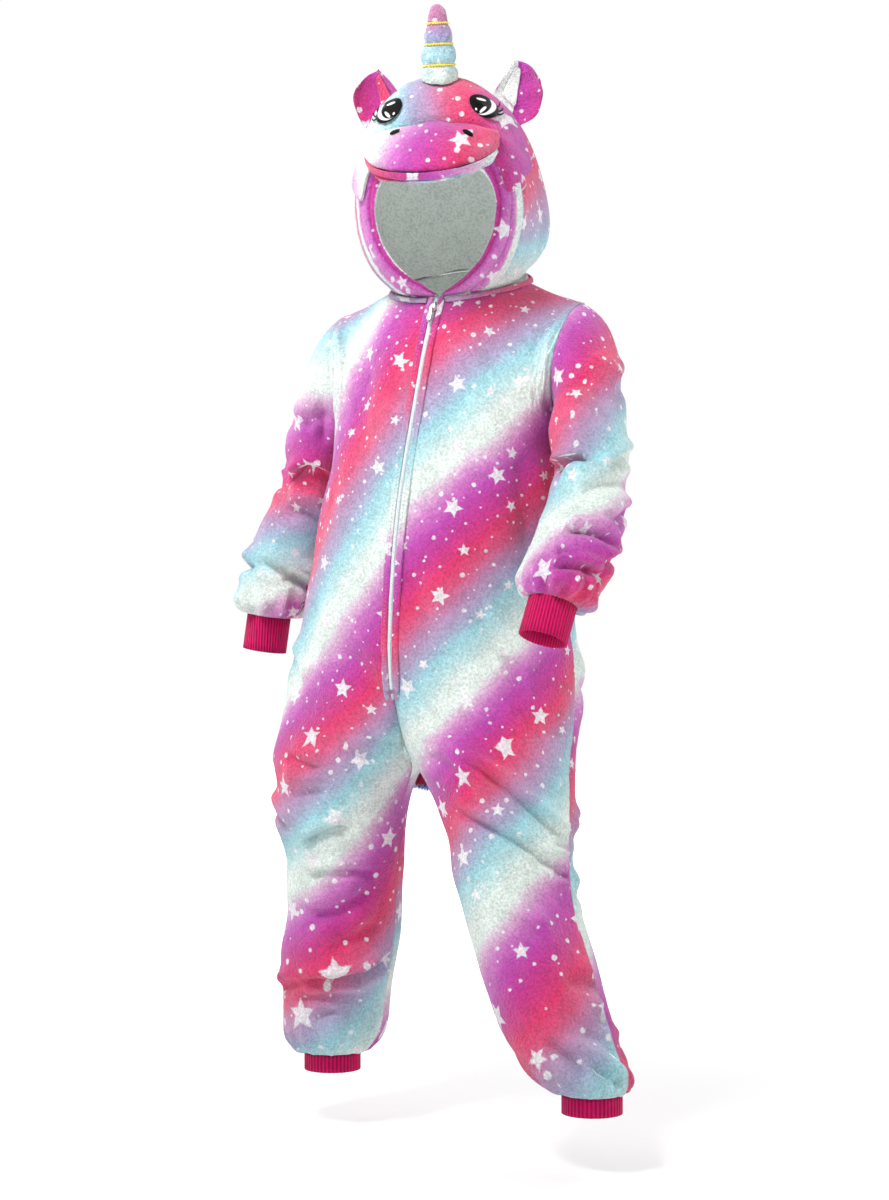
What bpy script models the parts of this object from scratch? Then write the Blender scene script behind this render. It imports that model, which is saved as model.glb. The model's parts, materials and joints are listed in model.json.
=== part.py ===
"""A child's hooded unicorn onesie, worn and hollow: plush panels, ribbed cuffs, stuffed horn and crest.

Metres, +Z up, the front faces -Y and the wearer's left is +X. The origin is the middle of the neck ring,
where the wearer's shoulders carry the garment. Run with: blender --background --python part.py
"""

import math

import bpy
import numpy as np
from mathutils import Vector
from mathutils.bvhtree import BVHTree

# ---- Driving sizes ----
WALL = 0.003  # plush fleece
RIB_WALL = 0.0024  # rib knit, between its ribs
SEAM = 0.00015  # each edge stands back by this, so two pieces are 0.3 mm apart
NECK_HALF_W, NECK_HALF_D = 0.082, 0.068
NECK_LOW, NECK_HIGH = -0.018, 0.030  # the neck seam at centre front and centre back
SHOULDER_TIP = (0.155, 0.004, -0.024)
UNDERARM_DROP = 0.152
ARMHOLE_BULGE = 0.058  # how far the armhole bows forward and back
CHEST_DROP = 0.205  # where the yoke meets the body rings
ZIP_DROP = 0.490  # where the zip ends
RISE_TOP, CROTCH = 0.445, 0.568  # drops where the centre seam turns in, and where it ends
ANKLE_DROP = 0.932  # the leg's gathered end
GUSSET_HALF, GUSSET_LONG = 0.016, 0.024
NECK_COLS, SHOULDER_COLS, ARMHOLE_COLS = 5, 3, 7
PANEL_COLS = NECK_COLS + SHOULDER_COLS + ARMHOLE_COLS
YOKE_ROWS = 5
SLEEVE_COLS = 2 * ARMHOLE_COLS

# ---- Tables. A drop is a distance below the neck ring ----
# drop, middle x, half width, front y, back y
TORSO = (
    (0.134, -0.004, 0.135, -0.112, 0.094),
    (0.254, -0.020, 0.150, -0.128, 0.110),
    (0.374, -0.033, 0.166, -0.124, 0.125),
    (0.450, -0.043, 0.183, -0.108, 0.138),
    (0.520, -0.048, 0.188, -0.098, 0.126),
)
# drop, inner x, outer x, front y, back y
LEG_LEFT = (
    (0.568, -0.050, 0.144, -0.104, 0.080),
    (0.600, -0.024, 0.146, -0.108, 0.072),
    (0.628, -0.004, 0.147, -0.110, 0.062),
    (0.680, 0.014, 0.152, -0.114, 0.036),
    (0.740, 0.034, 0.168, -0.120, 0.020),
    (0.800, 0.058, 0.194, -0.132, 0.008),
    (0.860, 0.088, 0.218, -0.140, -0.010),
    (0.900, 0.120, 0.239, -0.148, -0.030),
    (0.922, 0.145, 0.251, -0.142, -0.039),
    (0.932, 0.168, 0.240, -0.128, -0.056),
)
LEG_RIGHT = (
    (0.568, -0.050, -0.238, -0.104, 0.080),
    (0.600, -0.068, -0.234, -0.096, 0.072),
    (0.628, -0.076, -0.232, -0.092, 0.068),
    (0.680, -0.082, -0.232, -0.078, 0.068),
    (0.740, -0.092, -0.234, -0.060, 0.076),
    (0.800, -0.098, -0.242, -0.056, 0.086),
    (0.860, -0.114, -0.247, -0.044, 0.086),
    (0.900, -0.120, -0.247, -0.040, 0.086),
    (0.922, -0.132, -0.240, -0.032, 0.078),
    (0.932, -0.151, -0.223, -0.013, 0.059),
)
# x, y, z, radius across, radius front to back: the sleeve's rings below its cap
ARM_LEFT = (
    (0.1765, -0.038, -0.180, 0.0430, 0.055),
    (0.1860, -0.050, -0.230, 0.0440, 0.051),
    (0.1870, -0.070, -0.275, 0.0450, 0.048),
    (0.1810, -0.090, -0.315, 0.0480, 0.048),
    (0.1765, -0.104, -0.340, 0.0500, 0.049),
    (0.1735, -0.112, -0.354, 0.0470, 0.046),
    (0.1710, -0.117, -0.364, 0.0490, 0.047),
    (0.1697, -0.121, -0.372, 0.0420, 0.041),
    (0.1690, -0.123, -0.377, 0.0295, 0.0295),
)
ARM_RIGHT = (
    (-0.1960, 0.022, -0.180, 0.0430, 0.056),
    (-0.2150, 0.032, -0.235, 0.0430, 0.050),
    (-0.2370, 0.030, -0.285, 0.0440, 0.047),
    (-0.2540, 0.025, -0.325, 0.0460, 0.047),
    (-0.2640, 0.022, -0.352, 0.0480, 0.048),
    (-0.2690, 0.020, -0.368, 0.0455, 0.046),
    (-0.2715, 0.019, -0.380, 0.0480, 0.047),
    (-0.2730, 0.018, -0.388, 0.0410, 0.041),
    (-0.2738, 0.018, -0.393, 0.0285, 0.0285),
)
# side, u and drop of one end, u and drop of the other, width, depth (u 0 at the front seam, 1 at the back)
FOLDS = (
    (1, 0.02, 0.560, 0.46, 0.690, 0.017, 0.0060),
    (1, 0.05, 0.640, 0.48, 0.735, 0.017, 0.0070),
    (1, 0.10, 0.450, 0.17, 0.500, 0.014, 0.0035),
    (1, 0.55, 0.700, 0.95, 0.640, 0.018, 0.0070),
    (1, 0.60, 0.560, 0.90, 0.600, 0.018, 0.0060),
    (1, 0.10, 0.872, 0.45, 0.855, 0.013, 0.0040),
    (1, 0.58, 0.858, 0.92, 0.878, 0.013, 0.0040),
    (-1, 0.47, 0.700, 0.20, 0.668, 0.016, 0.0060),
    (-1, 0.46, 0.750, 0.12, 0.748, 0.017, 0.0060),
    (-1, 0.54, 0.725, 0.90, 0.670, 0.018, 0.0065),
    (-1, 0.62, 0.560, 0.88, 0.610, 0.018, 0.0055),
    (-1, 0.05, 0.850, 0.42, 0.878, 0.013, 0.0045),
    (-1, 0.56, 0.873, 0.90, 0.855, 0.013, 0.0040),
    (1, 0.40, 0.300, 0.62, 0.345, 0.016, 0.0050),
    (-1, 0.42, 0.330, 0.64, 0.300, 0.016, 0.0050),
    (1, 0.72, 0.420, 0.95, 0.470, 0.016, 0.0050),
    (-1, 0.74, 0.440, 0.95, 0.425, 0.016, 0.0045),
)
# side, turn and place of one end, of the other, width, depth (turn 0 faces the body, 0.25 the front;
# places are metres down the sleeve, which is SLEEVE_LONG)
SLEEVE_LONG, SLEEVE_ROUND = 0.40, 0.30
SLEEVE_FOLDS = (
    (1, 0.05, 0.180, 0.62, 0.200, 0.013, 0.0090),
    (1, 0.10, 0.235, 0.45, 0.245, 0.012, 0.0050),
    (1, 0.15, 0.315, 0.60, 0.325, 0.010, 0.0060),
    (1, 0.55, 0.335, 0.98, 0.325, 0.010, 0.0050),
    (1, 0.70, 0.170, 0.95, 0.200, 0.014, 0.0060),
    (-1, 0.10, 0.170, 0.60, 0.185, 0.013, 0.0080),
    (-1, 0.20, 0.215, 0.50, 0.225, 0.012, 0.0050),
    (-1, 0.10, 0.310, 0.55, 0.330, 0.010, 0.0060),
    (-1, 0.60, 0.325, 0.95, 0.335, 0.010, 0.0050),
    (-1, 0.68, 0.180, 0.95, 0.165, 0.014, 0.0060),
)
PLUSH = (0.62, 0.16, 0.42)
PLUSH_PALE = (0.62, 0.80, 0.80)
CRIMSON = (0.58, 0.01, 0.10)


# ---- Curves, walls and meshes ----
def unit(v):
    v = np.asarray(v, float)
    return v / np.maximum(np.linalg.norm(v, axis=-1, keepdims=True), 1e-12)


def smooth(a, b, x):
    """0 below a, 1 above b, and a soft step between."""
    t = np.clip((x - a) / (b - a), 0, 1)
    return t * t * (3 - 2 * t)


def along(rows, x):
    """The other columns of a table where its first column is x, on a smooth curve through its rows."""
    rows = np.asarray(rows, float)
    knots, values = rows[:, 0], rows[:, 1:]
    slopes = np.gradient(values, knots, axis=0)
    i = int(np.clip(np.searchsorted(knots, x) - 1, 0, len(knots) - 2))
    step = knots[i + 1] - knots[i]
    t = np.clip((x - knots[i]) / step, 0, 1)
    start, end = values[i], values[i + 1]
    return (
        (2 * t**3 - 3 * t**2 + 1) * start
        + (t**3 - 2 * t**2 + t) * step * slopes[i]
        + (3 * t**2 - 2 * t**3) * end
        + (t**3 - t**2) * step * slopes[i + 1]
    )


def bezier(p0, p1, p2, p3, t):
    return (1 - t) ** 3 * p0 + 3 * (1 - t) ** 2 * t * p1 + 3 * (1 - t) * t**2 * p2 + t**3 * p3


def normals_of(grid, wrap=False):
    """Unit normals of a grid of points, rows by columns; with wrap, the last column is next to the first."""
    if wrap:
        padded = np.concatenate([grid[:, -1:], grid, grid[:, :1]], axis=1)
        across = (padded[:, 2:] - padded[:, :-2]) / 2
    else:
        across = np.gradient(grid, axis=1)
    down = np.gradient(grid, axis=0)
    return unit(np.cross(down, across))


def set_back(grid, sides="tblr", gap=SEAM):
    """The grid with its top, bottom, left and right edges moved in by the seam gap."""
    out = grid.copy()
    if "t" in sides:
        out[0] += gap * unit(grid[1] - grid[0])
    if "b" in sides:
        out[-1] += gap * unit(grid[-2] - grid[-1])
    if "l" in sides:
        out[:, 0] += gap * unit(grid[:, 1] - grid[:, 0])
    if "r" in sides:
        out[:, -1] += gap * unit(grid[:, -2] - grid[:, -1])
    return out


def material(name, colour, rough=0.9, metal=0.0):
    found = bpy.data.materials.get(name)
    if found is None:
        found = bpy.data.materials.new(name)
        found.use_nodes = True
        shader = found.node_tree.nodes["Principled BSDF"]
        shader.inputs["Base Color"].default_value = (*colour, 1)
        shader.inputs["Roughness"].default_value = rough
        shader.inputs["Metallic"].default_value = metal
    return found


def add_mesh(name, points, faces, look):
    """An object from points and faces, its faces turned out."""
    mesh = bpy.data.meshes.new(name)
    mesh.from_pydata([tuple(p) for p in points], [], faces)
    mesh.validate()
    corners = np.array([p for p in points])
    volume = 0.0
    for face in faces:
        first = corners[face[0]]
        for a, b in zip(face[1:-1], face[2:]):
            volume += np.dot(first, np.cross(corners[a], corners[b]))
    if volume < 0:
        mesh.flip_normals()
    mesh.materials.append(look)
    mesh.shade_smooth()
    mesh.set_sharp_from_angle(angle=math.radians(50))
    obj = bpy.data.objects.new(name, mesh)
    bpy.context.scene.collection.objects.link(obj)
    return obj


def wall(name, outer, look, thick=WALL, wrap=False, out=None, inner=None):
    """A closed wall: an outer grid of points, the same grid moved in by the thickness, and its edges."""
    rows, cols = outer.shape[:2]
    if inner is None:
        out = normals_of(outer, wrap) if out is None else out
        inner = outer - thick * out
    points = np.concatenate([outer.reshape(-1, 3), inner.reshape(-1, 3)])
    shift = rows * cols
    across = cols if wrap else cols - 1
    faces = []
    for r in range(rows - 1):
        for c in range(across):
            a, b = r * cols + c, r * cols + (c + 1) % cols
            d, e = a + cols, b + cols
            faces.append((a, d, e, b))
            faces.append((shift + a, shift + b, shift + e, shift + d))
    for c in range(across):
        a, b = c, (c + 1) % cols
        faces.append((a, b, shift + b, shift + a))
        a, b = a + (rows - 1) * cols, b + (rows - 1) * cols
        faces.append((b, a, shift + a, shift + b))
    if not wrap:
        for r in range(rows - 1):
            a, b = r * cols, (r + 1) * cols
            faces.append((b, a, shift + a, shift + b))
            a, b = a + cols - 1, b + cols - 1
            faces.append((a, b, shift + b, shift + a))
    return add_mesh(name, points, faces, look)


def body_of_rings(name, rings, look):
    """A closed solid through rings of points, capped at both ends."""
    rings = np.asarray(rings, float)
    rows, cols = rings.shape[:2]
    faces = []
    for r in range(rows - 1):
        for c in range(cols):
            a, b = r * cols + c, r * cols + (c + 1) % cols
            faces.append((a, a + cols, b + cols, b))
    faces.append(tuple(range(cols)))
    faces.append(tuple(reversed(range((rows - 1) * cols, rows * cols))))
    return add_mesh(name, rings.reshape(-1, 3), faces, look)


# ---- Body ----
def side_rows(side):
    torso = [(d, m + side * SEAM, m + side * half, front, back) for d, m, half, front, back in TORSO]
    legs = [(d, i + side * SEAM, o, f, b) for d, i, o, f, b in (LEG_LEFT if side > 0 else LEG_RIGHT)]
    return torso + legs


MIDDLE = [(drop, middle) for drop, middle, *_ in TORSO] + [(CROTCH, LEG_LEFT[0][1])]
ROWS = {side: side_rows(side) for side in (1, -1)}
DROPS = (
    [CHEST_DROP, 0.270, 0.335, 0.400, 0.445, ZIP_DROP]
    + [CROTCH + k * GUSSET_LONG for k in (-1, -0.5, 0, 0.5, 1)]
    + [0.622, 0.654, 0.688, 0.722, 0.756, 0.794, 0.832, 0.864, 0.888, 0.908, 0.923, ANKLE_DROP]
)


def ring_point(side, u, drop):
    """A point of the body: u runs from the front centre seam, or the inseam, round the side to the back."""
    x_in, x_out, front, back = along(ROWS[side], drop)
    if drop < CROTCH:
        x_in = along(MIDDLE, drop)[0] + side * SEAM
    closing = np.clip((drop - RISE_TOP) / (CROTCH - RISE_TOP), 0, 1)
    half = (x_out - x_in) / (1 + closing)
    span = math.acos(-closing)
    turn = span * (2 * u - 1)
    y = (front + back) / 2 + (back - front) / 2 * math.sin(turn)
    return np.array([x_out - half + half * math.cos(turn), y, -drop])


def gusset_u(drop):
    """How far round its ring a panel's edge stands back for the gusset, as a share of the ring."""
    ring_length = 2 * math.pi * 0.088
    return GUSSET_HALF * max(0.0, 1 - abs(drop - CROTCH) / GUSSET_LONG) / ring_length


def neck_point(side, turn, grow=0.0, lift=0.0):
    """A point of the neck seam: turn -90 degrees is the front, 0 the side and 90 the back."""
    z = (NECK_LOW + NECK_HIGH) / 2 + (NECK_HIGH - NECK_LOW) / 2 * math.sin(turn) + lift
    return np.array(
        [side * (NECK_HALF_W + grow) * math.cos(turn), (NECK_HALF_D + grow) * math.sin(turn), z]
    )


def top_edge(side, back):
    """A panel's top edge from the centre: neckline, shoulder, armhole. Returns points and directions."""
    y_sign = 1 if back else -1
    tip = np.array(SHOULDER_TIP) * (side, 1, 1)
    under = ring_point(side, 0.5, UNDERARM_DROP)
    centre_way = (0, 0.35, -0.94) if back else (0, -0.55, -0.85)
    neck_way, tip_way = np.array((0, y_sign, -0.25)), np.array((-side * 0.26, y_sign * 0.95, -0.10))
    mid_way, under_way = np.array((-side * 0.50, y_sign * 0.30, -0.90)), np.array((0, 0, -1))
    points, ways = [], []
    for c in range(PANEL_COLS + 1):
        if c <= NECK_COLS:
            t = c / NECK_COLS
            start = math.asin(SEAM / NECK_HALF_W)
            points.append(neck_point(side, y_sign * (math.pi / 2 - start) * (1 - t)))
            ways.append(np.array(centre_way) * (1 - t) + neck_way * t)
        elif c <= NECK_COLS + SHOULDER_COLS:
            t = (c - NECK_COLS) / SHOULDER_COLS
            sag = 0.004 * math.sin(math.pi * t)
            points.append(neck_point(side, 0) * (1 - t) + tip * t - (0, 0, sag))
            ways.append(neck_way * (1 - t) + tip_way * t)
        else:
            t = (c - NECK_COLS - SHOULDER_COLS) / ARMHOLE_COLS
            down = (1 - math.cos(math.pi * t)) / 2
            bow = np.array([0, y_sign * ARMHOLE_BULGE, 0]) * math.sin(math.pi * t)
            points.append(tip * (1 - down) + under * down + bow)
            ways.append(tip_way * (1 - t) ** 2 + mid_way * 2 * t * (1 - t) + under_way * t**2)
    return np.array(points), unit(np.array(ways))


def fold_push(table, side, u, v, u_length):
    """How far the folds of a table push a point in: each is a soft trough with a low ridge on both sides."""
    push = 0.0
    for fold_side, u0, v0, u1, v1, width, depth in table:
        if fold_side != side:
            continue
        start, end = np.array([u0 * u_length, v0]), np.array([u1 * u_length, v1])
        line = end - start
        reach = np.dot(np.array([u * u_length, v]) - start, line) / np.dot(line, line)
        near = start + np.clip(reach, 0, 1) * line
        away = np.linalg.norm(np.array([u * u_length, v]) - near) / (width * 1.5)
        ends = smooth(-0.1, 0.25, reach) * (1 - smooth(0.75, 1.1, reach))
        push += 1.5 * depth * ends * (math.exp(-away * away) - 0.5 * math.exp(-((away - 1.7) ** 2)))
    return push


def ankle_gather(u, drop):
    """Uneven gathers above the ankle cuff."""
    wave = math.sin(2 * math.pi * 7 * u) + 0.4 * math.sin(2 * math.pi * 3 * u + 1.0)
    return 0.0030 * wave * smooth(0.870, 0.908, drop) * (1 - smooth(0.919, 0.931, drop))


def panel_grids(side):
    """The front and back panel of one side: base points, shared normals, and the points with their folds."""
    base = {}
    for back in (False, True):
        top, ways = top_edge(side, back)
        grid = []
        for r in range(YOKE_ROWS):
            row = []
            for c in range(PANEL_COLS + 1):
                u = 0.5 * c / PANEL_COLS
                u = 1 - u if back else u
                low = ring_point(side, u, CHEST_DROP)
                lean = unit(ring_point(side, u, CHEST_DROP - 0.02) - low)
                reach = 0.36 * np.linalg.norm(low - top[c])
                row.append(bezier(top[c], top[c] + reach * ways[c], low + reach * lean, low, r / YOKE_ROWS))
            grid.append(row)
        for drop in DROPS:
            first = gusset_u(drop)
            us = [first + (0.5 - first) * c / PANEL_COLS for c in range(PANEL_COLS + 1)]
            grid.append([ring_point(side, 1 - u if back else u, drop) for u in us])
        base[back] = np.array(grid)
    out = {back: normals_of(grid) * (-side if back else side) for back, grid in base.items()}
    for back in out:
        if out[back][8, 4, 1] * (1 if back else -1) < 0:
            out[back] = -out[back]
    # The two panels share normals along the shoulder and side seam, and with the other side's at the centre.
    shoulder = slice(NECK_COLS, NECK_COLS + SHOULDER_COLS + 1)
    ridge = unit(out[False][0, shoulder] + out[True][0, shoulder])
    seam = unit(out[False][:, -1] + out[True][:, -1])
    torso_rows = YOKE_ROWS + 5
    for back in out:
        out[back][0, shoulder] = ridge
        out[back][:, -1] = seam
        out[back][:torso_rows, 0, 0] = 0
        out[back] = unit(out[back])
    legs = slice(YOKE_ROWS + DROPS.index(CROTCH), None)
    inseam = unit(out[False][legs, 0] + out[True][legs, 0])
    for back in out:
        out[back][legs, 0] = inseam
    folded = {}
    for back, grid in base.items():
        grid = grid.copy()
        for r, drop in enumerate(DROPS):
            for c in range(PANEL_COLS + 1):
                u = 0.5 * c / PANEL_COLS
                edge = smooth(0.0, 0.07, u)
                u = 1 - u if back else u
                length = 0.50 if drop < CROTCH else 0.42
                push = fold_push(FOLDS, side, u, drop, length) - ankle_gather(u, drop)
                grid[YOKE_ROWS + r, c] -= push * edge * out[back][YOKE_ROWS + r, c]
        folded[back] = grid
    return folded, out


def make_panels(grids):
    for side, name in ((1, "left"), (-1, "right")):
        folded, out = grids[side]
        for back, word in ((False, "front"), (True, "back")):
            wall(f"{word}_{name}", set_back(folded[back]), material("plush", PLUSH), out=out[back])


def make_gusset(grids):
    """A diamond between the four panels at the crotch: a Coons patch on the edges that they leave."""
    first = YOKE_ROWS + DROPS.index(CROTCH - GUSSET_LONG)
    rows = slice(first, first + 5)
    edge, way = {}, {}
    for side in (1, -1):
        for back in (False, True):
            edge[side, back] = grids[side][0][back][rows, 0]
            way[side, back] = grids[side][1][back][rows, 0]
    def patch(of):
        front = (of[1, False][0] + of[-1, False][0]) / 2
        rear = (of[1, True][0] + of[-1, True][0]) / 2
        left, right = of[1, False][-1], of[-1, False][-1]
        grid = np.zeros((5, 5, 3))
        for i in range(5):
            for j in range(5):
                a, b = i / 4, j / 4
                ruled_a = (1 - b) * of[1, False][i] + b * of[-1, True][4 - i]
                ruled_b = (1 - a) * of[-1, False][j] + a * of[1, True][4 - j]
                flat = (1 - a) * ((1 - b) * front + b * right) + a * ((1 - b) * left + b * rear)
                grid[i, j] = ruled_a + ruled_b - flat
        return grid
    points = set_back(patch(edge), gap=6 * SEAM)
    wall("gusset", points, material("plush", PLUSH), out=unit(patch(way)))


# ---- Sleeves ----
def arm_frames(side, count):
    """Rings along the arm below the cap: centre, way along, way to the body, way to the front, both radii."""
    rows = np.array(ARM_LEFT if side > 0 else ARM_RIGHT)
    lengths = np.concatenate([[0], np.cumsum(np.linalg.norm(np.diff(rows[:, :3], axis=0), axis=1))])
    table = np.column_stack([lengths, rows])
    marks = list(np.linspace(0, lengths[3], count - 5)) + list(lengths[4:])
    frames = []
    for mark in marks:
        here = along(table, mark)
        ahead = along(table, min(mark + 0.004, lengths[-1]))
        behind = along(table, max(mark - 0.004, 0))
        way = unit(ahead[:3] - behind[:3])
        inward = unit(np.array([-side, 0, 0]) - np.dot([-side, 0, 0], way) * way)
        front = np.cross(way, inward)
        front = front if front[1] < 0 else -front
        frames.append((here[:3], way, inward, front, here[3], here[4]))
    return frames


def arm_ring(frame, cols, shrink=0.0):
    centre, _, inward, front, across, deep = frame
    turns = 2 * np.pi * np.arange(cols) / cols
    return (
        centre
        + np.outer(np.cos(turns), inward) * (across - shrink)
        + np.outer(np.sin(turns), front) * (deep - shrink)
    )


CAP_ROWS, ARM_RINGS = 6, 13


def make_sleeve(side, name, grids):
    folded, _ = grids[side]
    tip = NECK_COLS + SHOULDER_COLS
    front_edge, back_edge = folded[False][0], folded[True][0]
    armhole = np.array(list(front_edge[: tip - 1 : -1]) + list(back_edge[tip + 1 : -1]))
    armhole = armhole + (side * 3 * SEAM, 0, 0)
    frames = arm_frames(side, ARM_RINGS)
    first = arm_ring(frames[0], SLEEVE_COLS)
    rows = []
    for r in range(CAP_ROWS):
        row = []
        for k in range(SLEEVE_COLS):
            up = (1 - math.cos(2 * math.pi * k / SLEEVE_COLS)) / 2
            way = unit(np.array([side * (0.45 + 0.45 * up), 0, -0.85 + 0.35 * up]))
            reach = 0.34 * np.linalg.norm(first[k] - armhole[k])
            leave, arrive = armhole[k] + reach * way, first[k] - reach * frames[0][1]
            row.append(bezier(armhole[k], leave, arrive, first[k], r / CAP_ROWS))
        rows.append(row)
    rows += [arm_ring(frame, SLEEVE_COLS) for frame in frames]
    grid = np.array(rows)
    out = normals_of(grid, wrap=True)
    if np.dot(out[10, 4], frames[4][3]) < 0:
        out = -out
    # Round the upper armhole the sleeve and panels share normals; at the underarm they fold back to back.
    for k in range(SLEEVE_COLS):
        back = k > ARMHOLE_COLS
        c = tip + (k - ARMHOLE_COLS if back else ARMHOLE_COLS - k)
        own = grids[side][1][back][0, c]
        if np.dot(own, out[0, k]) > 0.05:
            shared = unit(own + out[0, k])
            out[0, k] = shared
            grids[side][1][back][0, c] = shared
            if k == ARMHOLE_COLS:
                grids[side][1][True][0, c] = shared
    grid[0] += 2 * SEAM * unit(grid[1] - grid[0])
    last = len(grid) - 1
    for r in range(1, last):
        place = SLEEVE_LONG * r / last
        for k in range(SLEEVE_COLS):
            push = fold_push(SLEEVE_FOLDS, side, k / SLEEVE_COLS, place, SLEEVE_ROUND)
            grid[r, k] -= push * out[r, k]
    wall(f"sleeve_{name}", grid, material("plush", PLUSH), wrap=True, out=out)
    return frames[-1]


def make_cuff(name, centre, way, side_way, radius, length, ribs, flare=0.0):
    """A ribbed tube: rounded ribs outside, plain inside, a little wider at its far end."""
    way, side_way = unit(way), unit(side_way)
    cross = np.cross(way, side_way)
    cols = 2 * ribs
    turns = 2 * np.pi * np.arange(cols) / cols
    rib = np.where(np.arange(cols) % 2 == 0, 0.0010, 0.0)
    ring = np.outer(np.cos(turns), side_way) + np.outer(np.sin(turns), cross)
    outer, inner = [], []
    for t in (0.0, 1.0):
        spot = np.asarray(centre) + way * (2 * SEAM + t * length)
        outer.append(spot + ring * (radius + flare * t + rib)[:, None])
        inner.append(spot + ring * (radius + flare * t - RIB_WALL + 0.0006))
    wall(name, np.array(outer), material("rib knit", CRIMSON), wrap=True, inner=np.array(inner))


# ---- Hood, in the head's own frame: origin at the head's middle, the face towards -y ----
HEAD = np.array([-0.010, -0.012, 0.118])
HEAD_YAW, HEAD_ROLL = math.radians(15), math.radians(-1.5)
BAND = 0.16  # where the face band's seam lies between the opening, 0, and the nape, 1
# a, top y, top z, first handle x, second handle x, y, z, neck turn in degrees
HOOD = (
    (0.00, -0.112, 0.022, 0.094, 0.098, -0.108, -0.095, -89.9),
    (0.16, -0.120, 0.068, 0.104, 0.121, -0.088, -0.095, -66.0),
    (0.35, -0.080, 0.113, 0.109, 0.143, -0.045, -0.085, -40.0),
    (0.55, 0.000, 0.127, 0.112, 0.147, 0.010, -0.075, -14.0),
    (0.75, 0.080, 0.098, 0.109, 0.140, 0.055, -0.070, 10.0),
    (0.90, 0.120, 0.030, 0.090, 0.110, 0.090, -0.065, 30.0),
    (1.00, 0.116, -0.045, 0.034, 0.044, 0.108, -0.080, 45.0),
)
NAPE_FROM = 0.86  # past here the arcs close in on the back of the neck ring
CROWN_HALF = 0.19  # the crown strip's edge, as a share of each arc from the middle to the neck
BAND_ROWS, CROWN_COLS = 3, 2
BAND_MARKS = list(np.linspace(0, BAND, BAND_ROWS + 1))
HOOD_MARKS = list(np.linspace(BAND, 1, 12))
CROWN_MARKS = list(np.linspace(0, CROWN_HALF, CROWN_COLS + 1))
SIDE_MARKS = list(np.linspace(CROWN_HALF, 1, 11))


def head_to_world(points):
    points = np.asarray(points, float)
    cr, sr = math.cos(HEAD_ROLL), math.sin(HEAD_ROLL)
    cy, sy = math.cos(HEAD_YAW), math.sin(HEAD_YAW)
    rolled = points @ np.array([[cr, 0, sr], [0, 1, 0], [-sr, 0, cr]]).T
    return rolled @ np.array([[cy, -sy, 0], [sy, cy, 0], [0, 0, 1]]).T + HEAD


def hood_point(side, a, b, lift=0.0):
    """A point of the hood: a from the face opening to the nape, b from the middle down to the neck."""
    top_y, top_z, x1, x2, y2, z2, turn = along(HOOD, a)
    low = neck_point(side, math.radians(turn), lift=2 * SEAM)
    p0 = head_to_world((0, top_y, top_z))
    p1 = head_to_world((side * x1, top_y, top_z))
    p2 = head_to_world((side * x2, y2, z2))
    arc = bezier(p0, p1, p2, low, b)
    nape = neck_point(side, math.radians(90 - b * (90 - turn)), lift=2 * SEAM)
    close = smooth(NAPE_FROM, 1.0, a) ** 1.5
    return arc * (1 - close) + nape * close


def hood_grid(side, a_marks, b_marks):
    return np.array([[hood_point(side, a, b) for b in b_marks] for a in a_marks])


def hood_normals(side, a_marks, b_marks, step=0.004):
    """The surface's own normals, so that neighbours share them at a seam."""
    later, sooner = [min(a + step, 1) for a in a_marks], [max(a - step, 0) for a in a_marks]
    down = hood_grid(side, later, b_marks) - hood_grid(side, sooner, b_marks)
    low, high = [max(b - step, 0) for b in b_marks], [min(b + step, 1) for b in b_marks]
    across = hood_grid(side, a_marks, high) - hood_grid(side, a_marks, low)
    out = unit(np.cross(across, down)) * side
    away = hood_grid(side, a_marks, b_marks) - HEAD
    return out if np.sum(out * away) > 0 else -out


def two_sided(a_marks, b_marks):
    """A grid and its normals across the middle, from the right side's b_marks to the left side's."""
    right, left = hood_grid(-1, a_marks, b_marks[::-1]), hood_grid(1, a_marks, b_marks)
    n_right, n_left = hood_normals(-1, a_marks, b_marks[::-1]), hood_normals(1, a_marks, b_marks)
    middle = unit(n_right[:, -1] + n_left[:, 0])
    n_left[:, 0] = middle
    return np.concatenate([right[:, :-1], left], axis=1), np.concatenate([n_right[:, :-1], n_left], axis=1)


def make_hood():
    plush = material("plush", PLUSH)
    for side, name in ((1, "left"), (-1, "right")):
        grid, out = hood_grid(side, HOOD_MARKS, SIDE_MARKS), hood_normals(side, HOOD_MARKS, SIDE_MARKS)
        wall(f"hood_{name}", set_back(grid), plush, out=out)
        b_marks = CROWN_MARKS + SIDE_MARKS[1:]
        grid, out = hood_grid(side, BAND_MARKS, b_marks), hood_normals(side, BAND_MARKS, b_marks)
        puffs = np.array([BAND_PUFF * smooth(0.52, 0.66, b) * (1 - smooth(0.86, 1, b)) for b in b_marks])
        padded = grid.copy()
        for r in range(1, BAND_ROWS):
            padded[r] += puffs[:, None] * math.sin(math.pi * r / BAND_ROWS) * out[r]
        inner = set_back(grid, gap=2 * SEAM) - WALL * out
        wall(f"face_band_{name}", set_back(padded, gap=2 * SEAM), plush, inner=inner)
    grid, out = two_sided(HOOD_MARKS, CROWN_MARKS)
    wall("hood_crown", set_back(grid), plush, out=out)


BAND_PUFF = 0.008
FOREHEAD_A = BAND_MARKS[2:] + HOOD_MARKS[1:4]
FOREHEAD_B = CROWN_MARKS + SIDE_MARKS[1:5]
FOREHEAD_THICK, FOREHEAD_PUFF = 0.0045, 0.0050


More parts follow.
